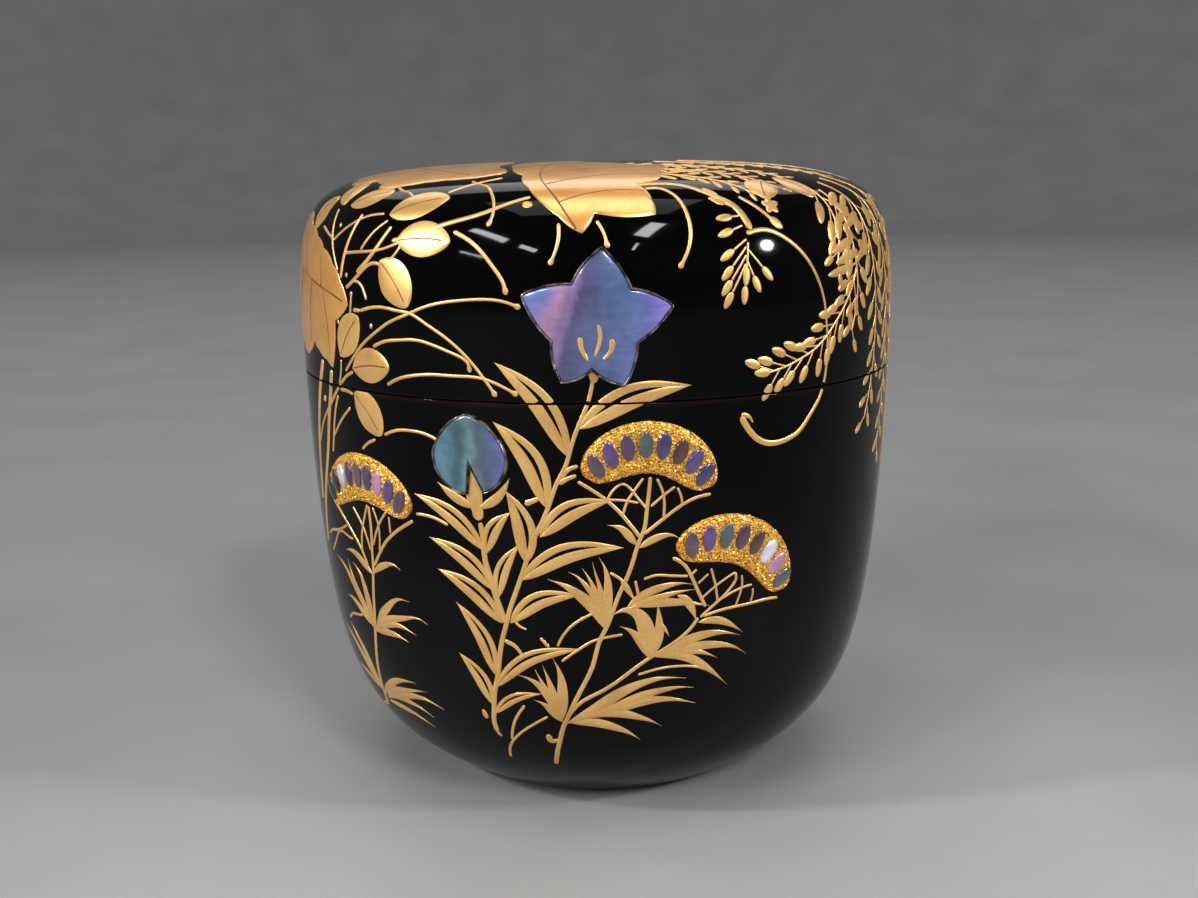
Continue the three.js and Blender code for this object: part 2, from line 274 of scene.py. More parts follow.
def body_profile():
    """Half section of the cup, from the middle of its underside round the wall to the middle of its floor."""
    wall = LID_WALL + LIP_CLEARANCE + LIP_THICKNESS
    ledge = SEAM_HEIGHT - SEAM_GAP / 2
    lip_radius = outline(SEAM_ARC)[0] - LID_WALL - LIP_CLEARANCE
    foot_radius = OUTLINE_STATIONS[0][0]
    ring_inside = foot_radius - FOOT_RING_WIDTH
    under = [(0, FOOT_RECESS), (ring_inside - FOOT_RECESS, FOOT_RECESS), (ring_inside, 0.0), (foot_radius, 0.0)]
    under = eased(under, 0.5)[:-1]
    side = outline_run(0.0, arc_at(ledge), 150)
    side = side[(side[:, 1] > 0.25) & (side[:, 1] < ledge - 0.08)]
    mouth = outline(arc_at(ledge, -wall), -wall)[0]
    corner = [side[-1], (outline(arc_at(ledge))[0], ledge), (lip_radius + 0.5, ledge)]
    corner = eased(corner, JOINT_ROUNDING)[1:]
    lip = [
        corner[-1], (lip_radius, ledge), (lip_radius, LIP_TOP), (mouth, LIP_TOP),
        (mouth, LIP_TOP - LIP_STRAIGHT),
    ]
    lip = eased(lip, LIP_ROUNDING)[1:]
    inner = outline_run(arc_at(ledge, -wall), arc_at(FLOOR_TOP, -wall), 90, -wall)
    inner = inner[inner[:, 1] > FLOOR_TOP + 0.8]
    foot = [inner[-1], (outline(arc_at(FLOOR_TOP, -wall), -wall)[0], FLOOR_TOP), (0.0, FLOOR_TOP)]
    foot = eased(foot, FLOOR_ROUNDING, 8)[1:]
    rounded_foot = eased([
        (foot_radius - FOOT_RING_WIDTH / 2, 0.0), (foot_radius, 0.0), side[0],
    ], FOOT_ROUNDING)[:-1]
    return np.concatenate([under, rounded_foot, side, corner, lip, inner, foot])


body_points, body_faces = turned(body_profile())
cup = solid_piece("cup", body_points, body_faces, BLACK_LACQUER, "black_lacquer")
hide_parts("caddy_body")

# Lid: a domed cap turned from the same wood and lacquered as one with the cup, with a thin straight bore that
# slips over the lip. Its rim meets the body in a hairline.
LID_ROOM = 0.8
RIM_ROUNDING = 0.14


def lid_profile():
    """Half section of the lid, from the middle of its ceiling down the bore, round the rim and up to the top."""
    rim = SEAM_HEIGHT + SEAM_GAP / 2
    bore = outline(SEAM_ARC)[0] - LID_WALL
    bore_top = LIP_TOP + LID_ROOM
    inner_start = max(ARC[WIDEST], arc_at(bore_top)) + 0.8
    ceiling = outline_run(TOTAL_ARC, inner_start, 90, -LID_WALL)
    above = tuple(outline_run(arc_at(rim), TOTAL_ARC, 400)[3])
    bored = [ceiling[-1], (bore, bore_top), (bore, rim), (outline(SEAM_ARC)[0], rim), above]
    bored = eased(bored, RIM_ROUNDING)[1:-1]
    outer = outline_run(arc_at(rim), TOTAL_ARC, 230)[1:]
    profile = np.concatenate([ceiling, bored, outer])
    profile[0, 0] = profile[-1, 0] = 0.0
    return profile


lid_points, lid_faces = turned(lid_profile())
lid = solid_piece("domed_lid", lid_points, lid_faces, BLACK_LACQUER, "black_lacquer")
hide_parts("lid")

# Bellflower: one flat star of blue abalone shell let into the lid, its edge ground round and bordered by a bead
# of black lacquer. Three gold stamens are painted on it.
BELLFLOWER_TIPS = [(10, 7.05), (85, 6.5), (161, 7.1), (240, 6.4), (293, 6.35)]
BELLFLOWER_NOTCHES = [(41, 4.2), (123, 3.9), (204, 4.4), (264, 4.3), (332, 4.15)]
BELLFLOWER_BULGE = 0.3
BELLFLOWER_ABOVE_SEAM = 1.85
SHELL_DEPTH = 0.5
SHELL_PROUD = 0.26
SHELL_CROWN = 0.15
RIM_SHARES = [1.0, 1.0, 0.992, 0.972]
RIM_DROPS = [0.1, 0.035, 0.0]


def skin(azimuth, rise, lift=0.0):
    """Points on the closed caddy's outer surface, moved out by lift, from azimuths in degrees and rises."""
    radius, height = outline(SEAM_ARC + np.asarray(rise, float), lift)
    angle = np.radians(azimuth)
    return np.stack(np.broadcast_arrays(radius * np.sin(angle), -radius * np.cos(angle), height), -1)


def seat(azimuth, rise, tilt=0.0):
    """Local map of the surface: turns millimetres right and up of a middle, tilted by degrees, into azimuth and
    rise."""

    def place(right, up):
        turn = math.radians(tilt)
        across = right * math.cos(turn) - up * math.sin(turn)
        along = right * math.sin(turn) + up * math.cos(turn)
        radius = outline(SEAM_ARC + rise + along)[0]
        return azimuth + np.degrees(across / radius), rise + along

    return place


def plate(place, edge, bottom, top, crown, rings=10):
    """Points and faces of a plate that follows the surface inside a closed edge. Formula: rings of the edge shrink
    to its middle while the lift grows by crown times one less the share squared; the rim is eased in two steps."""
    edge = np.asarray(edge, float)
    count = len(edge)
    inward = np.linspace(0.95, 0.1, rings)
    shares = np.concatenate([RIM_SHARES, inward, inward[-1:]])[:, None]
    rim_lifts = [top - drop for drop in RIM_DROPS]
    lifts = np.concatenate([[bottom], rim_lifts, top + crown * (1 - inward**2), [bottom]])[:, None]
    azimuth, rise = place(edge[:, 0] * shares, edge[:, 1] * shares)
    rows = skin(azimuth, rise, lifts + 0 * azimuth).reshape(-1, 3)
    middle = place(np.zeros(2), np.zeros(2))
    poles = skin(middle[0], middle[1], np.array([top + crown, bottom]))
    index = np.arange(len(rows)).reshape(-1, count)
    ahead = np.roll(index, -1, axis=1)
    upper = slice(0, len(index) - 2)
    quads = np.stack([index[:-1], ahead[:-1], ahead[1:], index[1:]], -1)[upper].reshape(-1, 4)
    under = np.stack([index[-1], ahead[-1], ahead[0], index[0]], -1)
    cap = np.stack([index[-2], ahead[-2], np.full(count, len(rows))], -1)
    base = np.stack([ahead[-1], index[-1], np.full(count, len(rows) + 1)], -1)
    return np.concatenate([rows, poles]), [quads, under, cap, base]


def polar(degrees, reach):
    """Flat place at a reach from a middle, at degrees from the right towards up."""
    return np.array([reach * math.cos(math.radians(degrees)), reach * math.sin(math.radians(degrees))])


def bellflower_edge(steps=14):
    """Star outline. Formula: straight sides between tips and notches, each bowed out as a parabola."""
    corners = [polar(*corner) for pair in zip(BELLFLOWER_TIPS, BELLFLOWER_NOTCHES) for corner in pair]
    share = np.linspace(0, 1, steps, endpoint=False)[:, None]
    sides = []
    for start, end in zip(corners, corners[1:] + corners[:1]):
        run = end - start
        out = np.array([run[1], -run[0]]) / np.hypot(*run)
        sides.append(start + run * share + out * BELLFLOWER_BULGE * 4 * share * (1 - share))
    return np.concatenate(sides)


def nacre(name, stops, middle, spread, across, grain, painted_glow):
    """Abalone shell under clear lacquer: bands of colour that follow a slanting line through the plate, bent by slow
    noise and crossed by fine growth lines, with a pearly sheen and a painted glow: its colour is also emitted as
    light. middle and spread are in millimetres, across is a direction."""
    made, nodes, links, main = shader(name)
    main.inputs["Metallic"].default_value = 0.35
    main.inputs["Roughness"].default_value = 0.3
    main.inputs["Coat Weight"].default_value = 1.0
    main.inputs["Coat Roughness"].default_value = 0.04
    main.inputs["Sheen Weight"].default_value = 0.12
    place = node(nodes, "ShaderNodeTexCoord")
    centred = node(nodes, "ShaderNodeVectorMath", operation="SUBTRACT")
    centred.inputs[1].default_value = [c * MILLIMETRE for c in middle]
    links.new(place.outputs["Object"], centred.inputs[0])
    sway = node(nodes, "ShaderNodeTexNoise", in_Scale=grain, in_Detail=3.0, in_Distortion=0.6)
    links.new(centred.outputs["Vector"], sway.inputs["Vector"])
    along = node(nodes, "ShaderNodeVectorMath", operation="DOT_PRODUCT")
    along.inputs[1].default_value = [a / (spread * MILLIMETRE) for a in across]
    links.new(centred.outputs["Vector"], along.inputs[0])
    swayed = node(nodes, "ShaderNodeMath", operation="MULTIPLY_ADD")
    swayed.inputs[1].default_value = 0.32
    links.new(sway.outputs["Fac"], swayed.inputs[0])
    links.new(along.outputs["Value"], swayed.inputs[2])
    shifted = node(nodes, "ShaderNodeMath", operation="ADD")
    shifted.inputs[1].default_value = 0.34
    links.new(swayed.outputs["Value"], shifted.inputs[0])
    bands = ramp(nodes, stops)
    bands.color_ramp.interpolation = "EASE"
    links.new(shifted.outputs["Value"], bands.inputs["Fac"])
    # Growth lines: thin, nearly level, and a little darker
    stretched = node(nodes, "ShaderNodeMapping")
    stretched.inputs["Scale"].default_value = (300, 300, 2600)
    stretched.inputs["Rotation"].default_value = (0, 0.06, 0)
    links.new(centred.outputs["Vector"], stretched.inputs["Vector"])
    growth = node(nodes, "ShaderNodeTexNoise", in_Scale=1.0, in_Detail=4.0, in_Roughness=0.6)
    links.new(stretched.outputs["Vector"], growth.inputs["Vector"])
    depth = node(nodes, "ShaderNodeMapRange", in_From_Min=0.3, in_From_Max=0.7, in_To_Min=0.86, in_To_Max=1.1)
    links.new(growth.outputs["Fac"], depth.inputs["Value"])
    cloud = node(nodes, "ShaderNodeTexNoise", in_Scale=430.0, in_Detail=5.0, in_Distortion=0.8)
    links.new(centred.outputs["Vector"], cloud.inputs["Vector"])
    dim = node(nodes, "ShaderNodeMapRange", in_From_Min=0.35, in_From_Max=0.65, in_To_Min=0.78, in_To_Max=1.12)
    links.new(cloud.outputs["Fac"], dim.inputs["Value"])
    both = node(nodes, "ShaderNodeMath", operation="MULTIPLY")
    links.new(depth.outputs["Result"], both.inputs[0])
    links.new(dim.outputs["Result"], both.inputs[1])
    lined = node(nodes, "ShaderNodeVectorMath", operation="SCALE")
    links.new(bands.outputs["Color"], lined.inputs[0])
    links.new(both.outputs["Value"], lined.inputs["Scale"])
    links.new(lined.outputs["Vector"], main.inputs["Base Color"])
    relief_by(nodes, links, main, growth.outputs["Fac"], 0.15, 0.00005)
    # Painted glow: the shell's own colour is emitted as light, so it shows lighter than its lamps alone make it
    links.new(lined.outputs["Vector"], main.inputs["Emission Color"])
    main.inputs["Emission Strength"].default_value = painted_glow
    return made


bellflower_foot = max(-bellflower_edge()[:, 1])
bellflower_seat = seat(0.0, BELLFLOWER_ABOVE_SEAM + bellflower_foot)
BLUE_SHELL = nacre(
    "blue_shell",
    [
        (0.0, (0.17, 0.26, 0.57)), (0.13, (0.16, 0.2, 0.5)), (0.24, (0.42, 0.23, 0.43)),
        (0.31, (0.26, 0.17, 0.37)), (0.37, (0.1, 0.09, 0.23)), (0.45, (0.1, 0.12, 0.28)),
        (0.6, (0.09, 0.14, 0.31)), (0.77, (0.13, 0.17, 0.45)), (0.88, (0.28, 0.21, 0.72)),
        (1.0, (0.26, 0.3, 0.8)),
    ],
    (0, -32.6, 53.3), 15.5, (1.0, 0, -0.18), 160.0, 0.12)
star_points, star_faces = plate(bellflower_seat, bellflower_edge(), -SHELL_DEPTH, SHELL_PROUD, SHELL_CROWN, 14)
bellflower = solid_piece("bellflower_plate", star_points, star_faces, BLUE_SHELL, "flower_shell")
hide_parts("bellflower_shell")


BORDER_GROWN = 0.12
BORDER_WIDTH = 0.3
BORDER_DEPTH = 0.3
BORDER_UNEVEN = 0.12


def border(place, edge, lift, columns=9):
    """Closed bead of lacquer along a plate's edge. Formula: the edge grown sideways by a share of the width, with the
    lift of half an ellipse across it and a flat underside, both made slightly uneven along it."""
    edge = np.asarray(edge, float)
    along = np.roll(edge, -1, axis=0) - np.roll(edge, 1, axis=0)
    along /= np.hypot(*along.T)[:, None]
    out = np.stack([along[:, 1], -along[:, 0]], -1)
    share = np.concatenate([np.cos(np.linspace(0, np.pi, columns)), [-1, 1]])
    uneven = np.random.default_rng(len(edge)).normal(0, 1, (len(edge), 2))
    uneven = BORDER_UNEVEN * (uneven + np.roll(uneven, 1, axis=0) + np.roll(uneven, -1, axis=0)) / 1.7
    lifts = np.where(np.arange(columns + 2) < columns, lift * np.sqrt(1 - share**2), -BORDER_DEPTH)
    lifts = lifts * (1 + uneven[:, :1])
    width = BORDER_WIDTH / 2 * share[:, None] * (1 + uneven[:, 1:, None])
    flat = edge[:, None] + out[:, None] * (BORDER_GROWN + width)
    azimuth, rise = place(flat[..., 0], flat[..., 1])
    index = np.arange(len(edge) * (columns + 2)).reshape(len(edge), columns + 2)
    ahead, beside = np.roll(index, -1, axis=0), np.roll(index, -1, axis=1)
    quads = np.stack([index, ahead, np.roll(ahead, -1, axis=1), beside], -1).reshape(-1, 4)
    return skin(azimuth, rise, lifts).reshape(-1, 3), [quads]


def edge_bead():
    """Bead of lacquer round a shell: duller than the ground, with pale patches painted into its colour as painted
    highlights, so that it shows as a fine line."""
    made, nodes, links, main = shader("edge_bead")
    main.inputs["Metallic"].default_value = 0.4
    main.inputs["Roughness"].default_value = 0.24
    place = node(nodes, "ShaderNodeTexCoord")
    # Painted highlights: pale patches in the bead's colour stand in for glints of light along it
    lacquer_marks = noise(nodes, links, place, 700.0, 4.0)
    stops = [(0.42, (0.008, 0.007, 0.008)), (0.66, (0.22, 0.19, 0.185))]
    shade_by(nodes, links, main, lacquer_marks.outputs["Fac"], stops)
    return made


EDGE_BEAD = edge_bead()
rim_points, rim_faces = border(bellflower_seat, bellflower_edge(), 0.4)
solid_piece("bellflower_border", rim_points, rim_faces, EDGE_BEAD, "black_lacquer")

# Bud: a spade of blue-green abalone let into the body, notched below for the calyx. Like the star it is ground
# round at its edge and bordered by a bead of black lacquer.
BUD_REACH = 3.7
BUD_TIP = 0.15
BUD_PINCH = 0.38
BUD_SWELL = 0.12
BUD_NOTCH = (156, 187 - 360)
BUD_NOTCH_TOP = (0.0, -0.5)
BUD_BELOW_SEAM = 1.35
bud_seat = seat(-22.0, -BUD_BELOW_SEAM - BUD_REACH - BUD_TIP)


def bud_edge(steps=96):
    """Spade outline, counterclockwise. Formula: a circle whose reach is drawn in beside the tip by a sine of twice
    the angle and swells below, open between 156 and 187 degrees, where it runs in to the top of the notch."""
    degrees = np.linspace(*BUD_NOTCH, steps)
    side = np.abs(degrees)
    upper = BUD_TIP * (1 - side / 90) - BUD_PINCH * np.sin(np.radians(2 * side))
    lower = BUD_SWELL * np.sin(np.radians(2 * (side - 90)))
    reach = BUD_REACH + np.where(side < 90, upper, lower)
    rim = np.stack([reach * np.sin(np.radians(degrees)), reach * np.cos(np.radians(degrees))], -1)
    notch = np.array(BUD_NOTCH_TOP)
    share = np.linspace(0, 1, 8)[1:, None]
    return np.concatenate([rim, rim[-1] + (notch - rim[-1]) * share, (notch + (rim[0] - notch) * share)[:-1]])


GREEN_SHELL = nacre(
    "green_shell",
    [
        (0.0, (0.16, 0.2, 0.62)), (0.13, (0.1, 0.16, 0.42)), (0.27, (0.09, 0.2, 0.27)),
        (0.38, (0.04, 0.1, 0.13)), (0.5, (0.12, 0.22, 0.26)), (0.62, (0.06, 0.1, 0.15)),
        (0.78, (0.11, 0.13, 0.36)), (0.92, (0.26, 0.26, 0.72)),
    ],
    (-12.3, -30.3, 40.4), 8.2, (0.93, 0.37, 0.1), 260.0, 0.1)
bud_points, bud_faces = plate(bud_seat, bud_edge(), -SHELL_DEPTH, SHELL_PROUD, SHELL_CROWN, 10)
bud = solid_piece("bud_plate", bud_points, bud_faces, GREEN_SHELL, "bud_shell")
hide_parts("bud_shell")
rim_points, rim_faces = border(bud_seat, bud_edge(), 0.34)
solid_piece("bud_border", rim_points, rim_faces, EDGE_BEAD, "black_lacquer")

# Flower heads: three bean-shaped beds built up in lacquer and strewn with coarse gold grain while wet. Each
# carries a bent row of small shell ovals.
HEADS = [
    {
        "name": "upper_head", "azimuth": 9.2, "drop": 4.3, "tilt": -7, "bend": 6.3, "shells": 8, "gap": 0.52,
        "tints": "grey violet mauve moss indigo umber violet indigo".split(),
    },
    {
        "name": "lower_head", "azimuth": 26.5, "drop": 14.5, "tilt": -25, "bend": 7.45, "shells": 8,
        "gap": 0.62, "tints": "grey violet moss mauve umber pearl rose moss".split(),
    },
    {
        "name": "left_head", "azimuth": -47.7, "drop": 9.1, "tilt": 2.5, "bend": 9.05, "shells": 9, "gap": 0.45,
        "tints": "moss umber pearl mauve grey indigo rose violet mauve".split(),
    },
]
BED_HALF_WIDTH = 2.55
BED_ROUNDNESS = 2.6
BED_END_MARGIN = 1.5
BED_HEIGHT = 0.3
OVAL_WIDTH = 1.2
OVAL_LENGTH = 2.3
OVAL_OFFSET = 0.35
OVAL_LEAN = 0.65
OVAL_SPREAD = 1.13
OVAL_CROWN = 0.2
BED_GRAIN = 0.045
BED_SUNK = 0.4


def coarse_gold():
    """Coarse gold grain set in lacquer: each grain its own shade between umber and yellow, faceted and glinting.
    The three channels of a cell's random colour give its shade, its gloss and its height."""
    made, nodes, links, main = shader("coarse_gold")
    main.inputs["Metallic"].default_value = 0.6
    place = node(nodes, "ShaderNodeTexCoord")
    cells = node(nodes, "ShaderNodeTexVoronoi", in_Scale=8500.0)
    links.new(place.outputs["Object"], cells.inputs["Vector"])
    split = node(nodes, "ShaderNodeSeparateColor")
    links.new(cells.outputs["Color"], split.inputs["Color"])
    stops = [
        (0.0, (0.14, 0.04, 0.004)), (0.2, (0.5, 0.18, 0.012)), (0.42, (0.9, 0.4, 0.026)),
        (0.75, (1.0, 0.56, 0.06)),
        (1.0, (1.0, 0.85, 0.36)),
    ]
    shade_by(nodes, links, main, split.outputs["Red"], stops)
    gloss = node(nodes, "ShaderNodeMapRange", in_To_Min=0.2, in_To_Max=0.55)
    links.new(split.outputs["Green"], gloss.inputs["Value"])
    links.new(gloss.outputs["Result"], main.inputs["Roughness"])
    relief_by(nodes, links, main, split.outputs["Blue"], 0.6, 0.00008)
    return made


COARSE_GOLD = coarse_gold()
TINTS = {
    "grey": [(0.2, (0.035, 0.025, 0.035)), (0.8, (0.11, 0.075, 0.095))],
    "violet": [(0.2, (0.025, 0.014, 0.07)), (0.8, (0.12, 0.065, 0.23))],
    "mauve": [(0.2, (0.025, 0.015, 0.034)), (0.8, (0.085, 0.05, 0.1))],
    "moss": [(0.2, (0.014, 0.024, 0.028)), (0.8, (0.08, 0.11, 0.12))],
    "indigo": [(0.2, (0.014, 0.012, 0.045)), (0.8, (0.06, 0.05, 0.15))],
    "umber": [(0.2, (0.03, 0.012, 0.01)), (0.8, (0.09, 0.04, 0.036))],
    "pearl": [(0.2, (0.4, 0.42, 0.55)), (0.8, (0.75, 0.78, 0.9))],
    "rose": [(0.2, (0.35, 0.14, 0.28)), (0.8, (0.6, 0.3, 0.5))],
}
OVAL_SHELL = {}
for tint, stops in TINTS.items():
    OVAL_SHELL[tint] = nacre("shell_" + tint, stops, (0, 0, 0), 2.6, (0.8, 0, 0.6), 700.0, 0.03)


def oval_reach(head):
    """Length along the head's arc from its middle to its outermost ovals."""
    return (head["shells"] - 1) / 2 * (OVAL_WIDTH + head["gap"])


def bean_bed(head, seed):
    """Strewn bed. Formula: a grid along and across an arc bent about a point below; the half width follows a
    superellipse of the share along, the top is a low round loaf, and every point has its own small random lift."""
    along, across = 150, 43
    half = oval_reach(head) * (head["bend"] / (head["bend"] + OVAL_OFFSET)) + BED_END_MARGIN
    phase = np.linspace(-1.53, 1.53, along)[:, None]
    share = np.sin(phase)
    width = BED_HALF_WIDTH * (1 - np.abs(share) ** BED_ROUNDNESS) ** (1 / BED_ROUNDNESS)
    over = np.sin(np.linspace(-np.pi / 2, np.pi / 2, across))
    reach = head["bend"] - over * width
    angle = share * half / head["bend"]
    place = seat(head["azimuth"], -head["drop"], head["tilt"])
    azimuth, rise = place(reach * np.sin(angle), reach * np.cos(angle) - head["bend"])
    edge = np.clip(1 - np.maximum(np.abs(over), np.abs(share) ** 3) ** 6, 0, 1) ** 0.5
    grain = np.random.default_rng(seed).normal(0, BED_GRAIN, azimuth.shape)
    lift = -0.15 + edge * (BED_HEIGHT + 0.2) + grain * (edge > 0)
    top = skin(azimuth, rise, lift).reshape(-1, 3)
    base = skin(azimuth, rise, -BED_SUNK).reshape(-1, 3)
    index = np.arange(along * across).reshape(along, across)
    quads = np.stack([index[:-1, :-1], index[:-1, 1:], index[1:, 1:], index[1:, :-1]], -1).reshape(-1, 4)
    rim = np.concatenate([index[0, :-1], index[:-1, -1], index[-1, :0:-1], index[:0:-1, 0]])
    ahead = np.roll(rim, -1)
    lower = along * across
    wall = np.stack([ahead, rim, rim + lower, ahead + lower], -1)
    return np.concatenate([top, base]), [quads, quads[:, ::-1] + lower, wall]


for number, head in enumerate(HEADS):
    bed_points, bed_faces = bean_bed(head, 40 + number)
    solid_piece(head["name"] + "_bed", bed_points, bed_faces, COARSE_GOLD, "gold_grain", crease=0.5)
    middle = seat(head["azimuth"], -head["drop"], head["tilt"])
    ring = head["bend"] + OVAL_OFFSET
    phase = np.linspace(0, 2 * np.pi, 36, endpoint=False)
    across = OVAL_SPREAD * OVAL_WIDTH / 2 * np.cos(phase)
    along = OVAL_SPREAD * OVAL_LENGTH / 2 * np.sin(phase)
    for i, reach in enumerate(np.linspace(-oval_reach(head), oval_reach(head), head["shells"])):
        angle = reach / ring
        cos, sin = math.cos(-angle * OVAL_LEAN), math.sin(-angle * OVAL_LEAN)
        edge = np.stack([across * cos - along * sin, across * sin + along * cos], -1)
        right, up = ring * math.sin(angle), ring * math.cos(angle) - head["bend"]
        own_seat = lambda x, y, right=right, up=up: middle(right + x, up + y)
        oval = plate(own_seat, edge, BED_HEIGHT - SHELL_DEPTH, BED_HEIGHT + OVAL_CROWN, OVAL_CROWN, 6)
        oval = solid_piece(f"{head['name']}_oval_{i + 1}", *oval, OVAL_SHELL[head["tints"][i]], "oval_shell")
        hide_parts(f"{head['name']}_shell_{i + 1}")

# Gold drawing (maki-e): lines and leaves drawn in wet lacquer and sprinkled with gold powder, so that they stand
# a few hundredths of a millimetre proud. Lines that cross the joint are parted there, lid from body.
GOLD_LIFT = 0.075
GOLD_SINK = 0.05
SEAM_REVEAL = 0.1
NARROWEST = 0.02


def sprinkled_gold(name, grain_scale, grain_share, patch, stops, relief):
    """Gold powder in lacquer. Formula: fine grain and broad patches, blended by the grain's share, set the colour;
    the grain alone sets the relief. Returns the material, its nodes, its links, its main shader and its patches."""
    made, nodes, links, main = shader(name)
    place = node(nodes, "ShaderNodeTexCoord")
    grain = noise(nodes, links, place, grain_scale, 2.0)
    patches = noise(nodes, links, place, *patch)
    blend = node(nodes, "ShaderNodeMath", operation="MULTIPLY_ADD")
    blend.inputs[1].default_value = grain_share
    links.new(grain.outputs["Fac"], blend.inputs[0])
    rest = node(nodes, "ShaderNodeMath", operation="MULTIPLY")
    rest.inputs[1].default_value = 1 - grain_share
    links.new(patches.outputs["Fac"], rest.inputs[0])
    links.new(rest.outputs["Value"], blend.inputs[2])
    shade_by(nodes, links, main, blend.outputs["Value"], stops)
    relief_by(nodes, links, main, grain.outputs["Fac"], relief, 0.00003)
    return made, nodes, links, main, patches


def gold_powder():
    """Matt gold powder: fine grain in colour and height, rubbed a little brighter in patches."""
    stops = [(0.3, (0.6, 0.32, 0.09)), (0.5, (0.8, 0.47, 0.15)), (0.72, (0.92, 0.6, 0.22))]
    made, nodes, links, main, patches = sprinkled_gold("gold_powder", 7000.0, 0.45, (260.0, 4.0), stops, 0.35)
    main.inputs["Metallic"].default_value = 0.58
    main.inputs["Specular IOR Level"].default_value = 0.4
    main.inputs["Coat Weight"].default_value = 0.25
    main.inputs["Coat Roughness"].default_value = 0.15
    gloss = node(nodes, "ShaderNodeMapRange", in_To_Min=0.28, in_To_Max=0.44)
    links.new(patches.outputs["Fac"], gloss.inputs["Value"])
    links.new(gloss.outputs["Result"], main.inputs["Roughness"])
    return made


GOLD_POWDER = gold_powder()


def spline(knots, places, at):
    """Natural cubic spline through places at knots. Formula: the second slopes solve the usual three-band system."""
    count = len(knots)
    if count == 2:
        share = ((at - knots[0]) / (knots[1] - knots[0]))[:, None]
        return places[0] + (places[1] - places[0]) * share
    gap = np.diff(knots)
    system = np.eye(count)
    right = np.zeros_like(places)
    for i in range(1, count - 1):
        system[i, i - 1 : i + 2] = gap[i - 1], 2 * (gap[i - 1] + gap[i]), gap[i]
        right[i] = 6 * ((places[i + 1] - places[i]) / gap[i] - (places[i] - places[i - 1]) / gap[i - 1])
    bend = np.linalg.solve(system, right)
    i = np.clip(np.searchsorted(knots, at) - 1, 0, count - 2)
    h = gap[i][:, None]
    a = ((knots[i + 1] - at) / gap[i])[:, None]
    b = 1 - a
    return a * places[i] + b * places[i + 1] + ((a**3 - a) * bend[i] + (b**3 - b) * bend[i + 1]) * h * h / 6


def radius_at(rise):
    """Radius of the outer surface at a rise, kept clear of the axis."""
    return np.maximum(outline(SEAM_ARC + np.asarray(rise, float))[0], 0.5)


LID_TOP_RISE = TOTAL_ARC - SEAM_ARC


def flat_top(places):
    """Flat millimetres about the lid's middle for places given as azimuth and rise."""
    places = np.asarray(places, float)
    reach, angle = LID_TOP_RISE - places[:, 1], np.radians(places[:, 0])
    return np.stack([reach * np.sin(angle), -reach * np.cos(angle)], -1)


def width_per_degree(rise):
    """Millimetres round the caddy that one degree of azimuth spans at a rise."""
    return math.radians(1) * float(radius_at(rise))


def drawn(places, step=0.35, on_top=False):
    """Even samples (azimuth, rise) and their lengths along a smooth line through given places, closer near both
    ends. On the lid's top the places are turned into flat millimetres about its middle first, so that the line stays
    smooth there."""
    places = np.asarray(places, float)
    scale = np.array([width_per_degree(places[:, 1].mean()), 1.0])
    flat = flat_top(places) if on_top else places * scale
    knots = np.concatenate([[0], np.cumsum(np.hypot(*np.diff(flat, axis=0).T))])
    count = max(int(knots[-1] / step), 7)
    ends = [0, 0.12, 0.4], [count - 0.4, count - 0.12, count]
    at = np.concatenate([ends[0], np.linspace(1, count - 1, count - 1), ends[1]]) / count * knots[-1]
    line = spline(knots, flat, at)
    if on_top:
        angle = np.degrees(np.unwrap(np.arctan2(line[:, 0], -line[:, 1])))
        return np.stack([angle, LID_TOP_RISE - np.hypot(*line.T)], -1), at
    return line / scale, at


def band(line, at, left, right, lift=GOLD_LIFT, columns=7, power=3.0, base=0.0):
    """Closed raised bands along a line, one for each stretch on the lid or on the body. Formula: across the band, from
    left to right offset, the lift falls as one less a power of the share, and a narrow band is lower; two more
    columns close it below."""
    radius = radius_at(line[:, 1])
    slope = np.stack([np.gradient(np.radians(line[:, 0]), at) * radius, np.gradient(line[:, 1], at)], -1)
    slope /= np.maximum(np.hypot(*slope.T), 1e-9)[:, None]
    share = np.sin(np.linspace(np.pi / 2, -np.pi / 2, columns))
    share = np.concatenate([share, [-1, 1]])
    offset = (left + right)[:, None] / 2 + (left - right)[:, None] / 2 * share
    narrow = np.clip((left - right) / 0.3, 0.25, 1)[:, None]
    lifts = lift * (1 - np.abs(share) ** power) * narrow
    lifts = base + np.where(np.arange(columns + 2) < columns, lifts, -GOLD_SINK)
    azimuth = line[:, :1] - np.degrees(offset * slope[:, 1:] / radius[:, None])
    rise = line[:, 1:] + offset * slope[:, :1]
    parts = []
    for side in (1, -1):
        kept = (side * rise > SEAM_REVEAL).any(axis=1)
        held = np.maximum(side * rise, SEAM_REVEAL) * side
        edges = np.flatnonzero(np.diff(np.concatenate([[0], kept.astype(int), [0]])))
        for start, end in edges.reshape(-1, 2):
            if end - start > 1:
                run = slice(start, end)
                parts.append(("lid" if side > 0 else "body", azimuth[run], held[run], lifts[run]))
    return parts


def line_of(places, width, end_width=None, blob=0.0, on_top=False, base=0.0):
    """Brush line of one width, or that thins from width to end_width, round at both ends and with a round drop of
    the given width at its far end."""
    line, at = drawn(places, on_top=on_top)
    length = at[-1]
    wide = width + ((end_width or width) - width) * at / length
    if blob:
        wide = np.maximum(wide, blob * np.sqrt(np.clip(1 - ((length - at - blob / 2) / (blob / 2)) ** 2, 0, 1)))
    ease = np.minimum(np.minimum(at, length - at) / (wide / 2), 1)
    half = np.maximum(wide / 2 * np.sqrt(1 - (1 - ease) ** 2), NARROWEST)
    return band(line, at, half, -half, base=base)


def lines_of(table, share=1.0):
    """Brush lines of a table of places and widths, each width times a share."""
    made = []
    for places, width in table:
        made += line_of(places, share * width)
    return made


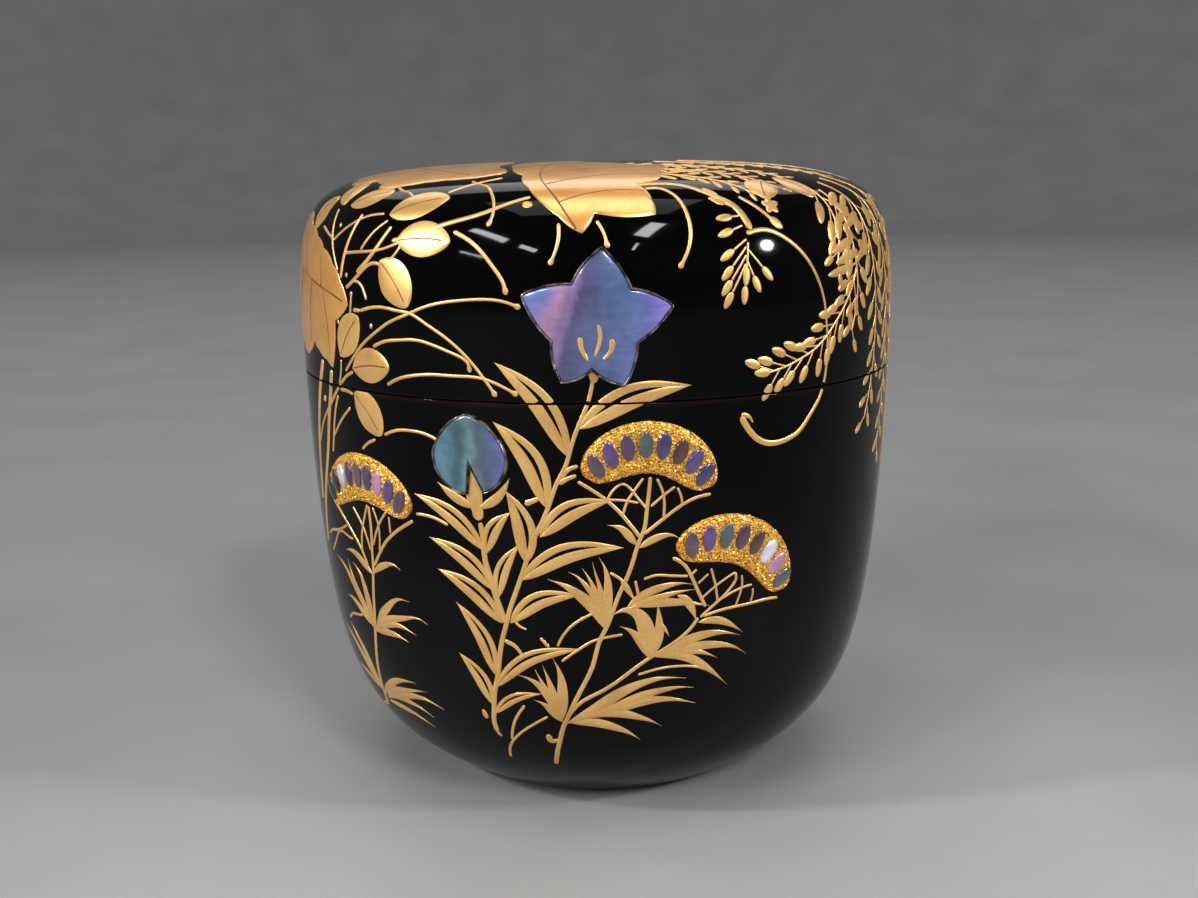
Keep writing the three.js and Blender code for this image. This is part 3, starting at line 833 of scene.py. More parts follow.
def blade_shape(share, fullest=0.42, sharp=0.85):
    """Half width of a blade from 0 to 1. Formula: a power of the share times a power of the rest, scaled to reach 1."""
    tail = sharp * (1 - fullest) / fullest
    top = fullest**sharp * (1 - fullest) ** tail
    return np.maximum(share**sharp * (1 - share) ** tail / top, 0.0)


def blade(places, width, fullest=0.36):
    """Solid sickle-shaped leaf lobe, pointed at both ends."""
    line, at = drawn(places)
    half = np.maximum(width / 2 * blade_shape(at / at[-1], fullest), NARROWEST)
    return band(line, at, half, -half, GOLD_LIFT * 1.1)


def blades(table):
    """Leaf lobes of a table of places and widths."""
    made = []
    for places, width in table:
        made += blade(places, width)
    return made


SLIT_SHARE = 0.21
SLIT_START = 0.15
SLIT_LENGTH = 0.64


def slit_leaf(base, tip, width, bulge=0.1):
    """Long leaf with a dark slit along its middle: two bands that part after the base and meet before the tip."""
    scale = width_per_degree((base[1] + tip[1]) / 2)
    run = np.array([(tip[0] - base[0]) * scale, tip[1] - base[1]])
    out = np.array([-run[1] / scale, run[0]]) * bulge
    middle = (base[0] * 0.52 + tip[0] * 0.48 + out[0], base[1] * 0.52 + tip[1] * 0.48 + out[1])
    line, at = drawn([base, middle, tip], step=0.28)
    share = at / at[-1]
    half = np.maximum(width * 0.6 * blade_shape(share, 0.42, 0.75), 0.03)
    within = np.clip((share - SLIT_START) / SLIT_LENGTH, 0, 1)
    slit = SLIT_SHARE * width * np.clip(np.sin(np.pi * within), 0, 1) ** 0.9
    centre = 0.1 * width * np.sin(np.pi * share) * np.sign(bulge)
    upper = band(line, at, half, centre + slit / 2 + 0.001, GOLD_LIFT, 6)
    return upper + band(line, at, centre - slit / 2 - 0.001, -half, GOLD_LIFT, 6)


DROP_LIFT = 0.075
DROP_ROUNDING = 3.2


def drop(azimuth, rise, angle, length, width):
    """Small teardrop of thick gold, from its pointed foot out along an angle above the right."""
    scale = width_per_degree(rise)
    end = (
        azimuth + length * math.cos(math.radians(angle)) / scale, rise + length * math.sin(math.radians(angle)),
    )
    line, at = drawn([(azimuth, rise), end], step=length / 7)
    share = at / at[-1]
    half = np.maximum(width / 2 * np.sqrt(np.clip(1 - (2 * share**0.8 - 1) ** 2, 0, 1)), NARROWEST)
    return band(line, at, half, -half, DROP_LIFT, 5, DROP_ROUNDING)


def lay_gold(name, bands, material=GOLD_POWDER):
    """Joins raised bands into one piece for the lid and one for the body. Rows join to the next row, and each end of
    a band closes in a fan of triangles."""
    for side in ("lid", "body"):
        points, quads, fans, start = [], [], [], 0
        for where, azimuth, rise, lift in bands:
            if where != side:
                continue
            rows, columns = azimuth.shape
            points.append(skin(azimuth, rise, lift).reshape(-1, 3))
            index = start + np.arange(rows * columns).reshape(rows, columns)
            ahead = np.roll(index, -1, axis=1)
            quads.append(np.stack([index[:-1], ahead[:-1], ahead[1:], index[1:]], -1).reshape(-1, 4))
            fan = np.stack([np.zeros(columns - 2, int), np.arange(1, columns - 1), np.arange(2, columns)], -1)
            fans += [index[0][fan][:, ::-1], index[-1][fan]]
            start += rows * columns
        if points:
            faces = [np.concatenate(quads), np.concatenate(fans)]
            solid_piece(f"{side}_{name}", np.concatenate(points), faces, material, "gold", 40)

# Bellflower plant: the star's stamens, calyx and long bent stem, and the slit leaves along it, all drawn with a
# fine brush in wet lacquer and sprinkled with gold powder.
STAMEN_BASE = 0.34
stamens = []
for places, width in [
    ([(0.3, 7.47), (0.6, 6.37), (-0.3, 4.47)], 0.95), ([(-2.5, 6.27), (-2.4, 5.32), (-1.35, 4.07)], 0.85),
    ([(2.4, 6.07), (2.3, 5.07), (1, 4.17)], 0.85),
]:
    stamens += line_of(places, width, 0.2, base=STAMEN_BASE)
lay_gold("stamens", stamens)
BELLFLOWER_STEM = [
    (-0.5, 3.37), (-0.85, 1.67), (-1.5, 0.17), (-2.7, -1.53), (-3.7, -2.93), (-4.5, -4.33), (-5.3, -5.83),
    (-6.9, -7.63), (-8.1, -9.43), (-9.3, -11.13), (-10.6, -12.63), (-11.6, -13.83), (-12.7, -15.63),
    (-14, -17.63), (-15.05, -19.13), (-16.1, -20.63), (-16.9, -22.13), (-17.76, -23.58), (-18.85, -26.08),
    (-19.7, -28.33), (-20.65, -29.98), (-21.5, -32.33), (-22, -33.73), (-21.87, -35.33),
]
plant = line_of(BELLFLOWER_STEM, 0.36, 0.56)
plant += line_of([(-0.4, 3.97), (-0.5, 1.97)], 1.8, 0.55)
plant += line_of([(-21.87, -35.33), (-21.2, -35.93)], 0.45, 0.2)
# Slit leaves, each from base to tip with its full width and the side it bends to
for base, tip, width, bulge in [
    ((-4.8, -5.03), (-16.76, 3.82), 1.9, -0.1), ((-3, -2.33), (15.4, 1.47), 2.0, 0.1),
    ((-8.7, -10.03), (-17.4, -1.83), 2.0, -0.12),
    ((-10, -12.93), (2, -9.33), 1.7, 0.12), ((-13.7, -17.43), (4.1, -14.03), 1.75, 0.12),
    ((-16.1, -22.03), (-3.5, -18.83), 1.5, 0.14),
    ((-12.6, -15.63), (-15.6, -8.53), 1.9, -0.1), ((-20.2, -14.63), (-33.6, -9.63), 1.5, -0.1),
    ((-18.7, -18.73), (-31, -13.93), 1.5, -0.1),
    ((-17.7, -22.13), (-29.8, -17.13), 1.6, -0.1), ((-19.9, -28.03), (-26.5, -20.43), 1.5, -0.1),
    ((-21.5, -31.63), (-27.17, -26.03), 1.4, -0.1),
    ((-19.8, -14.93), (-15.05, -10.63), 1.35, 0.12), ((-18.1, -19.43), (-13.7, -13.83), 1.25, 0.1),
    ((-20.2, -29.43), (-3.5, -24.53), 1.3, 0.13),
    ((-21.26, -32.73), (-11.25, -29.73), 0.95, 0.12),
]:
    plant += slit_leaf(base, tip, width, bulge)
for places, width in [
    ([(-6.1, -7.03), (-4.8, -6.23), (-3.3, -5.93)], 0.5), ([(-6.6, -7.63), (-5, -7.13), (-3.6, -6.83)], 0.5),
    ([(-12.4, -9.73), (-10, -9.13)], 0.6),
    ([(-17.5, -24.03), (-15.6, -24.53), (-14.4, -25.43)], 0.5),
    ([(-15.2, -21.93), (-14.4, -22.33), (-13.2, -22.63)], 0.3),
]:
    plant += line_of(places, width, width * 0.7)
plant += drop(-23.55, -33.63, 100, 1.2, 0.6)
lay_gold("bellflower_plant", plant)

# Calyx of the bud: three pointed sepals, a cup and its own stalk down to the stem, in the same sprinkled gold. The
# middle sepal stands in the notch of the shell.
calyx = blade([(-21.1, -11.33), (-21.5, -8.53), (-21.9, -5.53)], 1.75, fullest=0.42)
calyx += blade([(-21.3, -10.43), (-25.3, -9.43), (-28.4, -8.13)], 0.95, fullest=0.42)
calyx += blade([(-20.8, -10.43), (-17.2, -9.23), (-14.9, -7.23)], 0.95, fullest=0.42)
calyx += line_of([(-21.05, -10.13), (-20.8, -11.63)], 1.35, 1.0)
calyx += line_of([
    (-20.6, -11.83), (-20.2, -13.68), (-20.1, -15.63), (-19.3, -17.47), (-18.5, -19.43), (-17.7, -20.93),
    (-17.15, -22.13),
], 0.55, 0.65)
lay_gold("bud_calyx", calyx)

# Ladyflower stalks (ominaeshi): one tall stalk and a branch, the fine forked umbels that carry the two front
# heads, and split leaves that spread like fans.
stalks = line_of([
    (-10.4, -39.83), (-9.55, -37.63), (-8.5, -35.53), (-7.6, -33.83), (-6.4, -32.33), (-5, -30.53),
    (-3.04, -28.33), (-1.35, -26.13), (0, -23.43), (0.8, -22.53), (2.2, -20.53), (3.5, -18.53), (4.7, -17.03),
    (5.8, -15.23), (6.7, -13.53), (7.6, -12.23), (8, -10.53), (8.4, -8.53), (8.6, -7.13),
], 0.5, 0.36)
stalks += line_of([(-10.8, -34.93), (-10.4, -35.93), (-8.9, -35.63)], 0.7, 0.5)
stalks += line_of([
    (-6.4, -32.33), (-4, -30.68), (0, -29.33), (4.4, -27.58), (8.6, -25.83), (13.1, -24.33), (16.8, -22.53),
    (17.6, -21.83),
], 0.42, 0.34)
stalks += lines_of([
    ([(6.85, -13.03), (4.1, -10.93), (1.2, -9.23), (-3.4, -7.43)], 0.42),
    ([(7.6, -12.73), (11, -11.28), (13.9, -10.13), (16.8, -9.43), (19.2, -9.23)], 0.42),
    ([(4, -10.78), (4.7, -9.53), (5.8, -8.53), (7.4, -7.23)], 0.32),
    ([(8, -10.23), (6.1, -8.83), (3.8, -7.73), (2.9, -8.03), (1.4, -9.23)], 0.3),
    ([(1.2, -9.23), (4.1, -9.33), (6.6, -9.63)], 0.3),
    ([(8.7, -10.03), (10.8, -9.03), (12.8, -8.23)], 0.32),
    ([(9.7, -7.33), (10.8, -8.83), (11, -10.23), (10.9, -11.28)], 0.32),
    ([(13.2, -8.33), (13.9, -9.23), (14.1, -10.03)], 0.3),
    ([(18, -21.83), (19.7, -21.03), (22, -20.03), (23.8, -19.03), (24.7, -18.03), (24.4, -17.53)], 0.38),
    ([(18.6, -21.73), (22, -21.33), (27.8, -21.13), (32.2, -21.03), (34.2, -21.13)], 0.4),
    ([(20.6, -20.53), (23.5, -19.73), (26.4, -19.23), (28.1, -19.13)], 0.32),
    ([(18.9, -20.73), (17.4, -19.03), (16, -17.33), (14.5, -16.03), (12.6, -15.33)], 0.45),
    ([(21.2, -20.23), (20.6, -18.53), (19.7, -16.83)], 0.32),
    ([(18.1, -19.83), (20.6, -18.73), (24.4, -17.53)], 0.3), ([(17.3, -18.23), (19.2, -17.33)], 0.3),
    ([(16, -17.23), (17, -16.73)], 0.3),
    ([(24.9, -21.13), (25.7, -19.83), (26, -18.83), (25.8, -17.93)], 0.3),
    ([(28, -20.93), (28.4, -20.03), (28.3, -19.53)], 0.3),
    ([(7.6, -17.33), (9.3, -17.03), (12.2, -17.13), (15.4, -17.33)], 0.35),
    ([(6.8, -27.53), (10.5, -27.03), (14.4, -26.93), (18.4, -27.33), (21.3, -28.13)], 0.35),
    ([(-7.75, -24.28), (-6.9, -23.33), (-5, -22.03), (-1.35, -20.73)], 0.35),
    ([(-10.8, -23.43), (-9.3, -24.43)], 0.4), ([(6.1, -17.43), (6.7, -19.03)], 0.35),
    ([(1.8, -16.53), (4.4, -17.73), (5.5, -19.03)], 0.35),
    ([(-7.1, -25.93), (-5.5, -25.23), (-3.5, -24.43), (-1.6, -23.73), (0.3, -23.38), (3.9, -23.03)], 0.35),
    ([(-20.9, -39.28), (-20.2, -37.73), (-18.5, -36.13), (-15.35, -34.43), (-10.5, -32.53)], 0.38),
    ([(-18.97, -36.13), (-18.2, -34.53), (-17, -33.03), (-14.9, -31.33)], 0.4),
], 0.8)
lay_gold("ladyflower_stalks", stalks)
lay_gold("ladyflower_leaves", blades([
    ([(6.3, -13.83), (5.5, -13.23), (3.5, -12.03), (1.35, -11.73)], 0.8),
    ([(6.7, -14.13), (8.4, -13.53), (10.8, -13.03), (12.5, -13.03), (13.7, -13.43)], 0.75),
    ([(17.6, -22.33), (21, -22.33), (24.4, -23.13), (26.8, -24.13)], 0.8),
    ([(-6.9, -33.33), (-1.5, -31.53), (3, -29.73), (7, -28.63), (11.5, -28.13), (16, -28.38)], 1.25),
    ([(0, -31.63), (4, -30.83), (8, -29.93), (12, -29.48), (15, -29.38), (17.6, -29.58)], 1.0),
    ([(-3, -32.23), (3, -31.33), (7.5, -30.73), (11, -30.58), (14.4, -30.83), (18.4, -31.53)], 1.15),
    ([(-5, -32.73), (-1, -31.93), (3, -31.93), (7, -32.58), (10, -33.33), (11.9, -34.03)], 1.2),
    ([(-6, -33.23), (-1, -33.18), (2.6, -33.83), (5.6, -34.73), (7.8, -35.73)], 1.1),
    ([(9.9, -25.53), (13.4, -24.73), (16.5, -24.03), (19.5, -23.73), (22.5, -23.78), (26.4, -24.43)], 1.05),
    ([(11, -25.33), (15.7, -24.98), (19.7, -24.93), (22.8, -25.18), (25.5, -25.68), (28, -26.63)], 0.95),
    ([(12, -25.23), (16, -25.33), (19, -25.73), (21.9, -26.53)], 0.7),
    ([(9.6, -25.63), (13.5, -25.63), (17.3, -26.43), (20.5, -27.73), (24.6, -29.83)], 0.95),
    ([(8.7, -25.73), (8, -24.63), (6.9, -23.63), (5.2, -22.63), (3.4, -22.13)], 1.0),
    ([(8.8, -25.73), (8.6, -24.13), (8, -22.43), (6.6, -20.93), (4.4, -20.43), (1.9, -21.03)], 1.7),
    ([(9, -25.63), (9.8, -24.63), (10.4, -23.23), (10.4, -21.63), (10, -19.63)], 1.0),
    ([(4.6, -20.23), (6.5, -19.33), (9, -18.58), (12, -18.13), (14.5, -18.03), (16.3, -18.23)], 0.85),
    ([(4.6, -20.53), (8, -19.68), (11, -19.23), (14, -18.88), (16.8, -18.78)], 0.75),
    ([(3.6, -17.23), (4.8, -18.33), (6.2, -19.63)], 0.6),
    ([(6, -20.13), (9.5, -19.88), (13, -19.93), (16.5, -20.23), (19.8, -20.73)], 0.9),
    ([(13.6, -19.23), (15.2, -19.83), (16.4, -20.83), (17.3, -22.23)], 0.9),
    ([(10.6, -22.03), (11.4, -22.63), (12.3, -23.53)], 0.4),
    ([(0.7, -22.33), (0, -21.23), (-1.8, -19.73), (-4, -18.63), (-6.5, -17.73), (-9, -17.23)], 1.2),
    ([(0, -20.53), (-1.5, -18.53), (-2.8, -17.53), (-4, -16.83), (-5.4, -16.43)], 0.6),
    ([(0.7, -21.73), (-0.1, -19.33), (-1.1, -18.03), (-2, -16.93), (-3, -16.03)], 0.66),
    ([(0.8, -21.73), (0.35, -19.13), (-0.2, -17.63), (-0.75, -16.53), (-1.2, -15.43)], 0.55),
    ([(0.8, -22.13), (1.2, -20.03), (1.4, -18.33), (1.25, -16.93), (0.8, -15.93), (-0.1, -14.93)], 0.95),
    ([(-7.6, -32.93), (-9.2, -30.73), (-11.2, -29.03), (-13.3, -28.13), (-15.5, -27.73)], 1.1),
    ([(-8.4, -31.63), (-10.2, -29.33), (-11.4, -27.93), (-12.2, -26.93)], 0.6),
    ([(-7.8, -32.13), (-9.1, -29.43), (-9.9, -27.83), (-10.7, -26.43)], 0.75),
    ([(-7.5, -32.73), (-7.35, -30.53), (-7.25, -28.93), (-7.4, -27.73), (-7.9, -26.63), (-8.7, -25.63)], 1.1),
    ([(-7.6, -33.13), (-9.6, -31.83), (-11.2, -30.93), (-12.9, -30.53)], 0.8),
]))

# Left plant: the same flower on a shorter stalk, with its umbel and fans of leaves round the left side, drawn and
# sprinkled like the plants in front.
left = line_of([
    (-47.3, -19.53), (-48.4, -22.33), (-49.2, -24.53), (-49.9, -25.93), (-50.8, -27.53), (-52.4, -30.03),
    (-53.8, -32.33), (-54.9, -34.23), (-57, -36.43), (-60.6, -37.33),
], 0.42, 0.6)
left += lines_of([
    ([(-47, -19.53), (-46.6, -16.83), (-46.1, -14.53), (-46.2, -12.03)], 0.5),
    ([(-48.6, -18.73), (-50.3, -17.03), (-52.7, -15.63), (-55.1, -14.53), (-59.6, -12.83)], 0.45),
    ([
        (-46.5, -18.43), (-44.8, -17.23), (-42.7, -15.78), (-40.2, -14.53), (-37.6, -13.53), (-34.5, -12.53),
    ], 0.45),
    ([(-47, -16.83), (-48.6, -14.53), (-51.5, -12.63)], 0.35),
    ([(-50, -17.23), (-49.5, -15.53), (-48, -13.53), (-46.6, -11.93)], 0.35),
    ([(-45.9, -16.13), (-43.7, -13.83), (-41.1, -12.13)], 0.35),
    ([(-44.2, -16.53), (-43.7, -13.83), (-44.9, -12.03)], 0.32),
    ([(-40.5, -12.63), (-40.5, -14.33)], 0.32),
    ([(-33.6, -11.73), (-31.4, -11.73), (-28.7, -12.03), (-26.9, -12.43)], 0.4),
    ([(-39.8, -4.13), (-37, -3.53), (-33.3, -3.33), (-30.1, -3.53), (-28.1, -3.93)], 0.4),
    ([(-46.3, -6.03), (-44.6, -5.33), (-42.3, -4.78)], 0.4),
    ([(-61.7, -26.43), (-59.5, -25.63), (-57, -25.33), (-54.3, -25.03)], 0.4),
    ([(-66, -17.23), (-63.3, -16.53), (-60, -16.13), (-57.9, -15.73), (-55.1, -15.03)], 0.4),
    ([(-65.2, -19.03), (-61.9, -17.53), (-58.4, -16.03), (-55.7, -16.13), (-53.2, -16.33)], 0.35),
], 0.82)
left += blades([
    ([(-47.3, -19.53), (-49.7, -18.73), (-52.4, -17.93), (-55.1, -17.73), (-57.3, -18.03)], 0.9),
    ([(-47, -19.33), (-44.8, -18.43), (-42.7, -17.93), (-40.8, -17.73), (-38.9, -18.13)], 0.75),
    ([
        (-49.9, -26.13), (-48.4, -25.43), (-46.5, -24.03), (-43.8, -22.63), (-40.8, -21.53), (-37.5, -21.43),
    ], 1.0),
    ([(-49, -25.83), (-44.8, -24.23), (-41.6, -23.73), (-38.3, -23.28), (-35.6, -23.13), (-33.7, -23.53)], 0.8),
    ([(-49, -25.93), (-44.3, -24.73), (-41.6, -24.53), (-39.1, -24.73), (-37, -25.08)], 0.75),
    ([(-49.8, -26.13), (-45.4, -25.78), (-42.1, -25.83), (-39.4, -26.13)], 0.8),
    ([(-50.6, -25.93), (-50.5, -23.93), (-51.1, -21.53), (-52.4, -19.83), (-54.6, -19.03)], 1.1),
    ([(-50.8, -25.53), (-52.4, -23.73), (-54.6, -21.83), (-56, -20.33), (-56.9, -18.93)], 0.9),
    ([(-51, -25.53), (-53, -23.43), (-56.5, -21.23), (-59.5, -19.83), (-62.7, -19.33)], 1.0),
    ([(-51, -25.63), (-55.1, -24.03), (-57.9, -23.43), (-60, -23.43)], 0.9),
    ([(-54.6, -34.93), (-53.8, -34.33), (-50.8, -33.13), (-47.6, -32.03), (-43.8, -31.33), (-40, -31.13)], 1.0),
    ([(-54, -34.93), (-48.4, -33.28), (-44.3, -32.63), (-40.5, -32.13), (-37.2, -31.83)], 0.85),
    ([(-54, -35.13), (-47, -33.73), (-42.9, -33.13), (-38.9, -32.93), (-34, -33.63)], 1.0),
    ([(-54, -35.33), (-49.7, -34.23), (-44.3, -34.23), (-41, -34.53), (-38, -35.33)], 0.9),
    ([(-54.3, -35.63), (-49.7, -35.63), (-45.7, -35.78), (-42.4, -36.23), (-39.4, -37.03)], 0.8),
    ([(-54.8, -34.03), (-55.7, -32.93), (-56.8, -30.78), (-59, -28.73), (-62.2, -27.03)], 1.2),
    ([(-54.9, -34.23), (-57, -32.53), (-60.6, -30.13), (-63.8, -28.63), (-67, -27.93)], 1.2),
    ([(-54.9, -34.33), (-60.6, -33.13), (-66, -32.63)], 1.0),
])
lay_gold("left_plant", left)

# Bush clover and vine on the left of the lid: round leaves, thin stalks and long bending tendrils in sprinkled
# gold, with a fine vein of red-brown lacquer drawn over each leaf.


def vein_lacquer():
    """Dark red-brown lacquer line drawn over the gold."""
    made, nodes, links, main = shader("vein_lacquer")
    main.inputs["Roughness"].default_value = 0.35
    place = node(nodes, "ShaderNodeTexCoord")
    uneven = noise(nodes, links, place, 900.0, 3.0)
    shade_by(
        nodes, links, main, uneven.outputs["Fac"], [(0.35, (0.1, 0.022, 0.008)), (0.65, (0.24, 0.07, 0.02))],
    )
    return made


VEIN_LACQUER = vein_lacquer()
VEIN_BASE = 0.09
VEIN_LIFT = 0.06
vine, veins = [], []
# Round leaves, each with its middle, length, width and angle
for azimuth, rise, length, width, angle in [
    (-48.05, 5.22, 5.5, 3.7, 50), (-42.4, 2.37, 5.7, 3.5, 5), (-44, -2.33, 5.6, 3.6, -45),
    (-36.1, 10.77, 5.7, 3.9, -50),
    (-30.3, 14.87, 6.3, 3.5, 0), (-33.35, 18.57, 6.6, 3.5, 20), (-47.7, 19.57, 5.5, 3.1, 25),
    (-63.4, 17.57, 4.6, 3.5, 60),
    (-59.2, 20.77, 6, 3.1, -50), (34.3, 20.57, 4, 3.4, 60), (43.1, 20.87, 4.6, 3, -65),
]:
    place = seat(azimuth, rise, angle)
    ends = np.linspace(-0.5, 0.5, 5)
    places = np.stack(place(ends * length, 0.08 * width * np.cos(np.pi * ends)), -1)
    line, at = drawn(places, step=0.3)
    share = at / at[-1]
    half = np.maximum(width / 2 * np.clip(np.sin(np.pi * share), 0, 1) ** 0.62, NARROWEST)
    vine += band(line, at, half, -half, 0.1, 11)
    inner = (share > 0.04) & (share < 0.9)
    thin = np.full(inner.sum(), 0.08)
    veins += band(line[inner], at[inner], thin, -thin, VEIN_LIFT, 5, base=VEIN_BASE)
# Stalks and tendrils, each with its width and the width of the drop at its end
for places, width, blob in [
    ([(-58.2, -2.83), (-55.9, -1.73), (-53.6, -0.53), (-52.1, 0.17), (-49.8, 1.17), (-47.5, 1.72)], 0.5, 0),
    ([(-52.4, 0.27), (-51.5, 1.67), (-51.2, 2.77)], 0.35, 0),
    ([(-52.1, -0.33), (-49.8, -0.33), (-48, -0.53)], 0.5, 0),
    ([(-58.2, -2.83), (-60.2, -3.83), (-62.5, -5.23), (-64.6, -6.83)], 0.4, 0),
    ([(-49.2, -2.03), (-52.1, -3.23), (-55, -4.73), (-56.4, -5.53)], 0.4, 0),
    ([(-53.3, -1.03), (-55, -2.83), (-56.4, -5.23), (-57.6, -7.33)], 0.45, 0),
    ([(-59, 2.27), (-61.7, -0.83), (-64.3, -4.73), (-66, -8.03), (-68, -13.53)], 1.0, 0),
    ([
        (-55.3, 1.47), (-56.4, -0.83), (-58.2, -3.83), (-60.2, -7.23), (-63.1, -10.53), (-66, -13.83),
        (-69, -18.53),
    ], 0.9, 0),
    ([(-59.8, -2.03), (-58.9, -1.53)], 0.9, 0),
    ([(-49.3, 13.47), (-45.4, 13.67), (-41.6, 13.82), (-38.3, 14.17), (-35.6, 14.67)], 0.4, 0),
    ([(-45.4, 11.67), (-42.2, 13.17), (-39.6, 14.87), (-37.7, 16.27)], 0.6, 0),
    ([(-48.5, 10.07), (-45.1, 11.37), (-40.9, 12.67), (-38, 12.27)], 0.5, 0),
    ([(-50.4, 10.97), (-49.9, 12.77), (-48.6, 15.07), (-46.7, 17.47)], 0.6, 0),
    ([(-54.3, 14.67), (-51.2, 15.77), (-48, 16.67), (-44.1, 17.37), (-40.6, 17.57)], 0.38, 0),
    ([(-56.4, 17.97), (-55.1, 15.07), (-53.8, 13.57), (-51.5, 11.67)], 0.42, 0),
    ([(-60.2, 15.97), (-54.3, 14.67)], 0.4, 0), ([(-44.8, 13.87), (-42.2, 15.57), (-39, 16.87)], 0.38, 0),
    ([(-43.5, 21.67), (-40.9, 20.97), (-38.3, 20.57), (-35.8, 19.67)], 0.4, 0),
    ([(-28.7, 20.57), (-24.5, 22.77), (-20.3, 24.47)], 0.5, 0),
    ([
        (-49.8, 1.72), (-47.2, 3.17), (-43.4, 4.97), (-40, 6.17), (-36.8, 7.17), (-33, 7.97), (-29.8, 8.67),
        (-26, 9.22), (-20.8, 9.57), (-14.4, 9.37), (-12.1, 8.87),
    ], 0.42, 0.75),
    ([
        (-44.4, 7.97), (-41.4, 8.37), (-38.2, 8.47), (-35.3, 8.27), (-32.4, 8.07), (-29.8, 7.37), (-26, 6.17),
        (-22.1, 4.47), (-18.2, 1.87), (-16.6, 0.57),
    ], 0.42, 0.75),
    ([
        (-41.3, 4.57), (-38.2, 5.22), (-34.7, 5.47), (-31.3, 5.57), (-28.4, 5.27), (-24, 4.47), (-21.4, 3.57),
        (-21.1, 2.77),
    ], 0.42, 0.7),
    ([
        (-38.2, 0.97), (-35.6, 1.67), (-31.8, 2.17), (-28.4, 2.37), (-24, 2.37), (-19.2, 2.27), (-16, 1.67),
        (-12.9, 0.77),
    ], 0.42, 0.75),
    ([(-24.3, 15.87), (-20.8, 14.87), (-18.2, 13.57), (-16.3, 12.27), (-15, 11.17), (-14.5, 10.07)], 0.5, 0.75),
    ([(-37, 14.87), (-31, 15.67), (-26.3, 16.57), (-19.2, 17.77), (-14.4, 19.07), (-11.5, 19.77)], 0.6, 0),
    ([(-12.6, 18.87), (-10.8, 18.57)], 1.0, 0),
    ([
        (-26.4, 23.37), (-24, 22.57), (-21.4, 21.87), (-19.5, 20.57), (-18.05, 19.07), (-17.6, 17.47),
        (-18.2, 16.37),
    ], 0.42, 0.7),
    ([(-6, 16.67), (-6, 15.07), (-6.6, 13.77), (-7.4, 12.77)], 0.42, 0.7),
    ([(0.3, 16.87), (1.4, 15.77), (2.05, 14.27)], 0.42, 0.7),
    ([
        (9.5, 20.97), (12, 21.07), (14, 20.17), (15.4, 18.37), (16, 16.47), (15.6, 14.47), (14.6, 13.17),
        (13.6, 12.27),
    ], 0.48, 0.75),
    ([(-41.9, 6.57), (-41.2, 6.57)], 0.8, 0), ([(-51.7, 6.47), (-51.2, 6.67)], 0.9, 0),
    ([(-47.2, 9.47), (-46.6, 9.57)], 0.9, 0), ([(-48.8, 11.27), (-48.2, 11.37)], 0.8, 0),
    ([(-53.2, 16.17), (-52.6, 16.27)], 0.8, 0), ([(-46.4, 7.97), (-44.4, 7.97)], 0.5, 0),
    ([(-42.6, 9.07), (-44.6, 10.67), (-47, 10.77)], 0.4, 0),
    ([(-37.9, 12.87), (-36.6, 13.27), (-34.8, 14.47)], 0.4, 0), ([(-47.4, 7.37), (-46.9, 9.47)], 0.4, 0),
]:
    vine += line_of(places, 0.82 * width, 0.68 * width, 0.78 * blob)

# Lobed leaves: three large leaves that lie over the lid's edge. Each is filled with one thin field of warm gold
# powder, and its veins are drawn over it in red-brown lacquer.


def leaf_gold():
    """Warm gold of the large leaves: powder laid a little thinner, so that it glows redder in soft patches."""
    stops = [(0.3, (0.66, 0.26, 0.06)), (0.5, (0.88, 0.44, 0.11)), (0.7, (0.97, 0.58, 0.18))]
    made, _, _, main, patches = sprinkled_gold("leaf_gold", 6500.0, 0.3, (150.0, 6.0), stops, 0.3)
    patches.inputs["Roughness"].default_value = 0.6
    main.inputs["Metallic"].default_value = 0.55
    main.inputs["Roughness"].default_value = 0.3
    main.inputs["Coat Weight"].default_value = 0.6
    main.inputs["Coat Roughness"].default_value = 0.1
    return made


LEAF_GOLD = leaf_gold()


def on_lid(flat, lift):
    """Points on the lid above flat millimetres about its middle. Formula: the flat distance is the arc from the top."""
    reach = np.hypot(flat[..., 0], flat[..., 1])
    return skin(np.degrees(np.arctan2(flat[..., 0], -flat[..., 1])), LID_TOP_RISE - reach, lift)


LEAF_LIFT = 0.1
LEAF_RINGS = 16
LEAF_BOW = 0.08


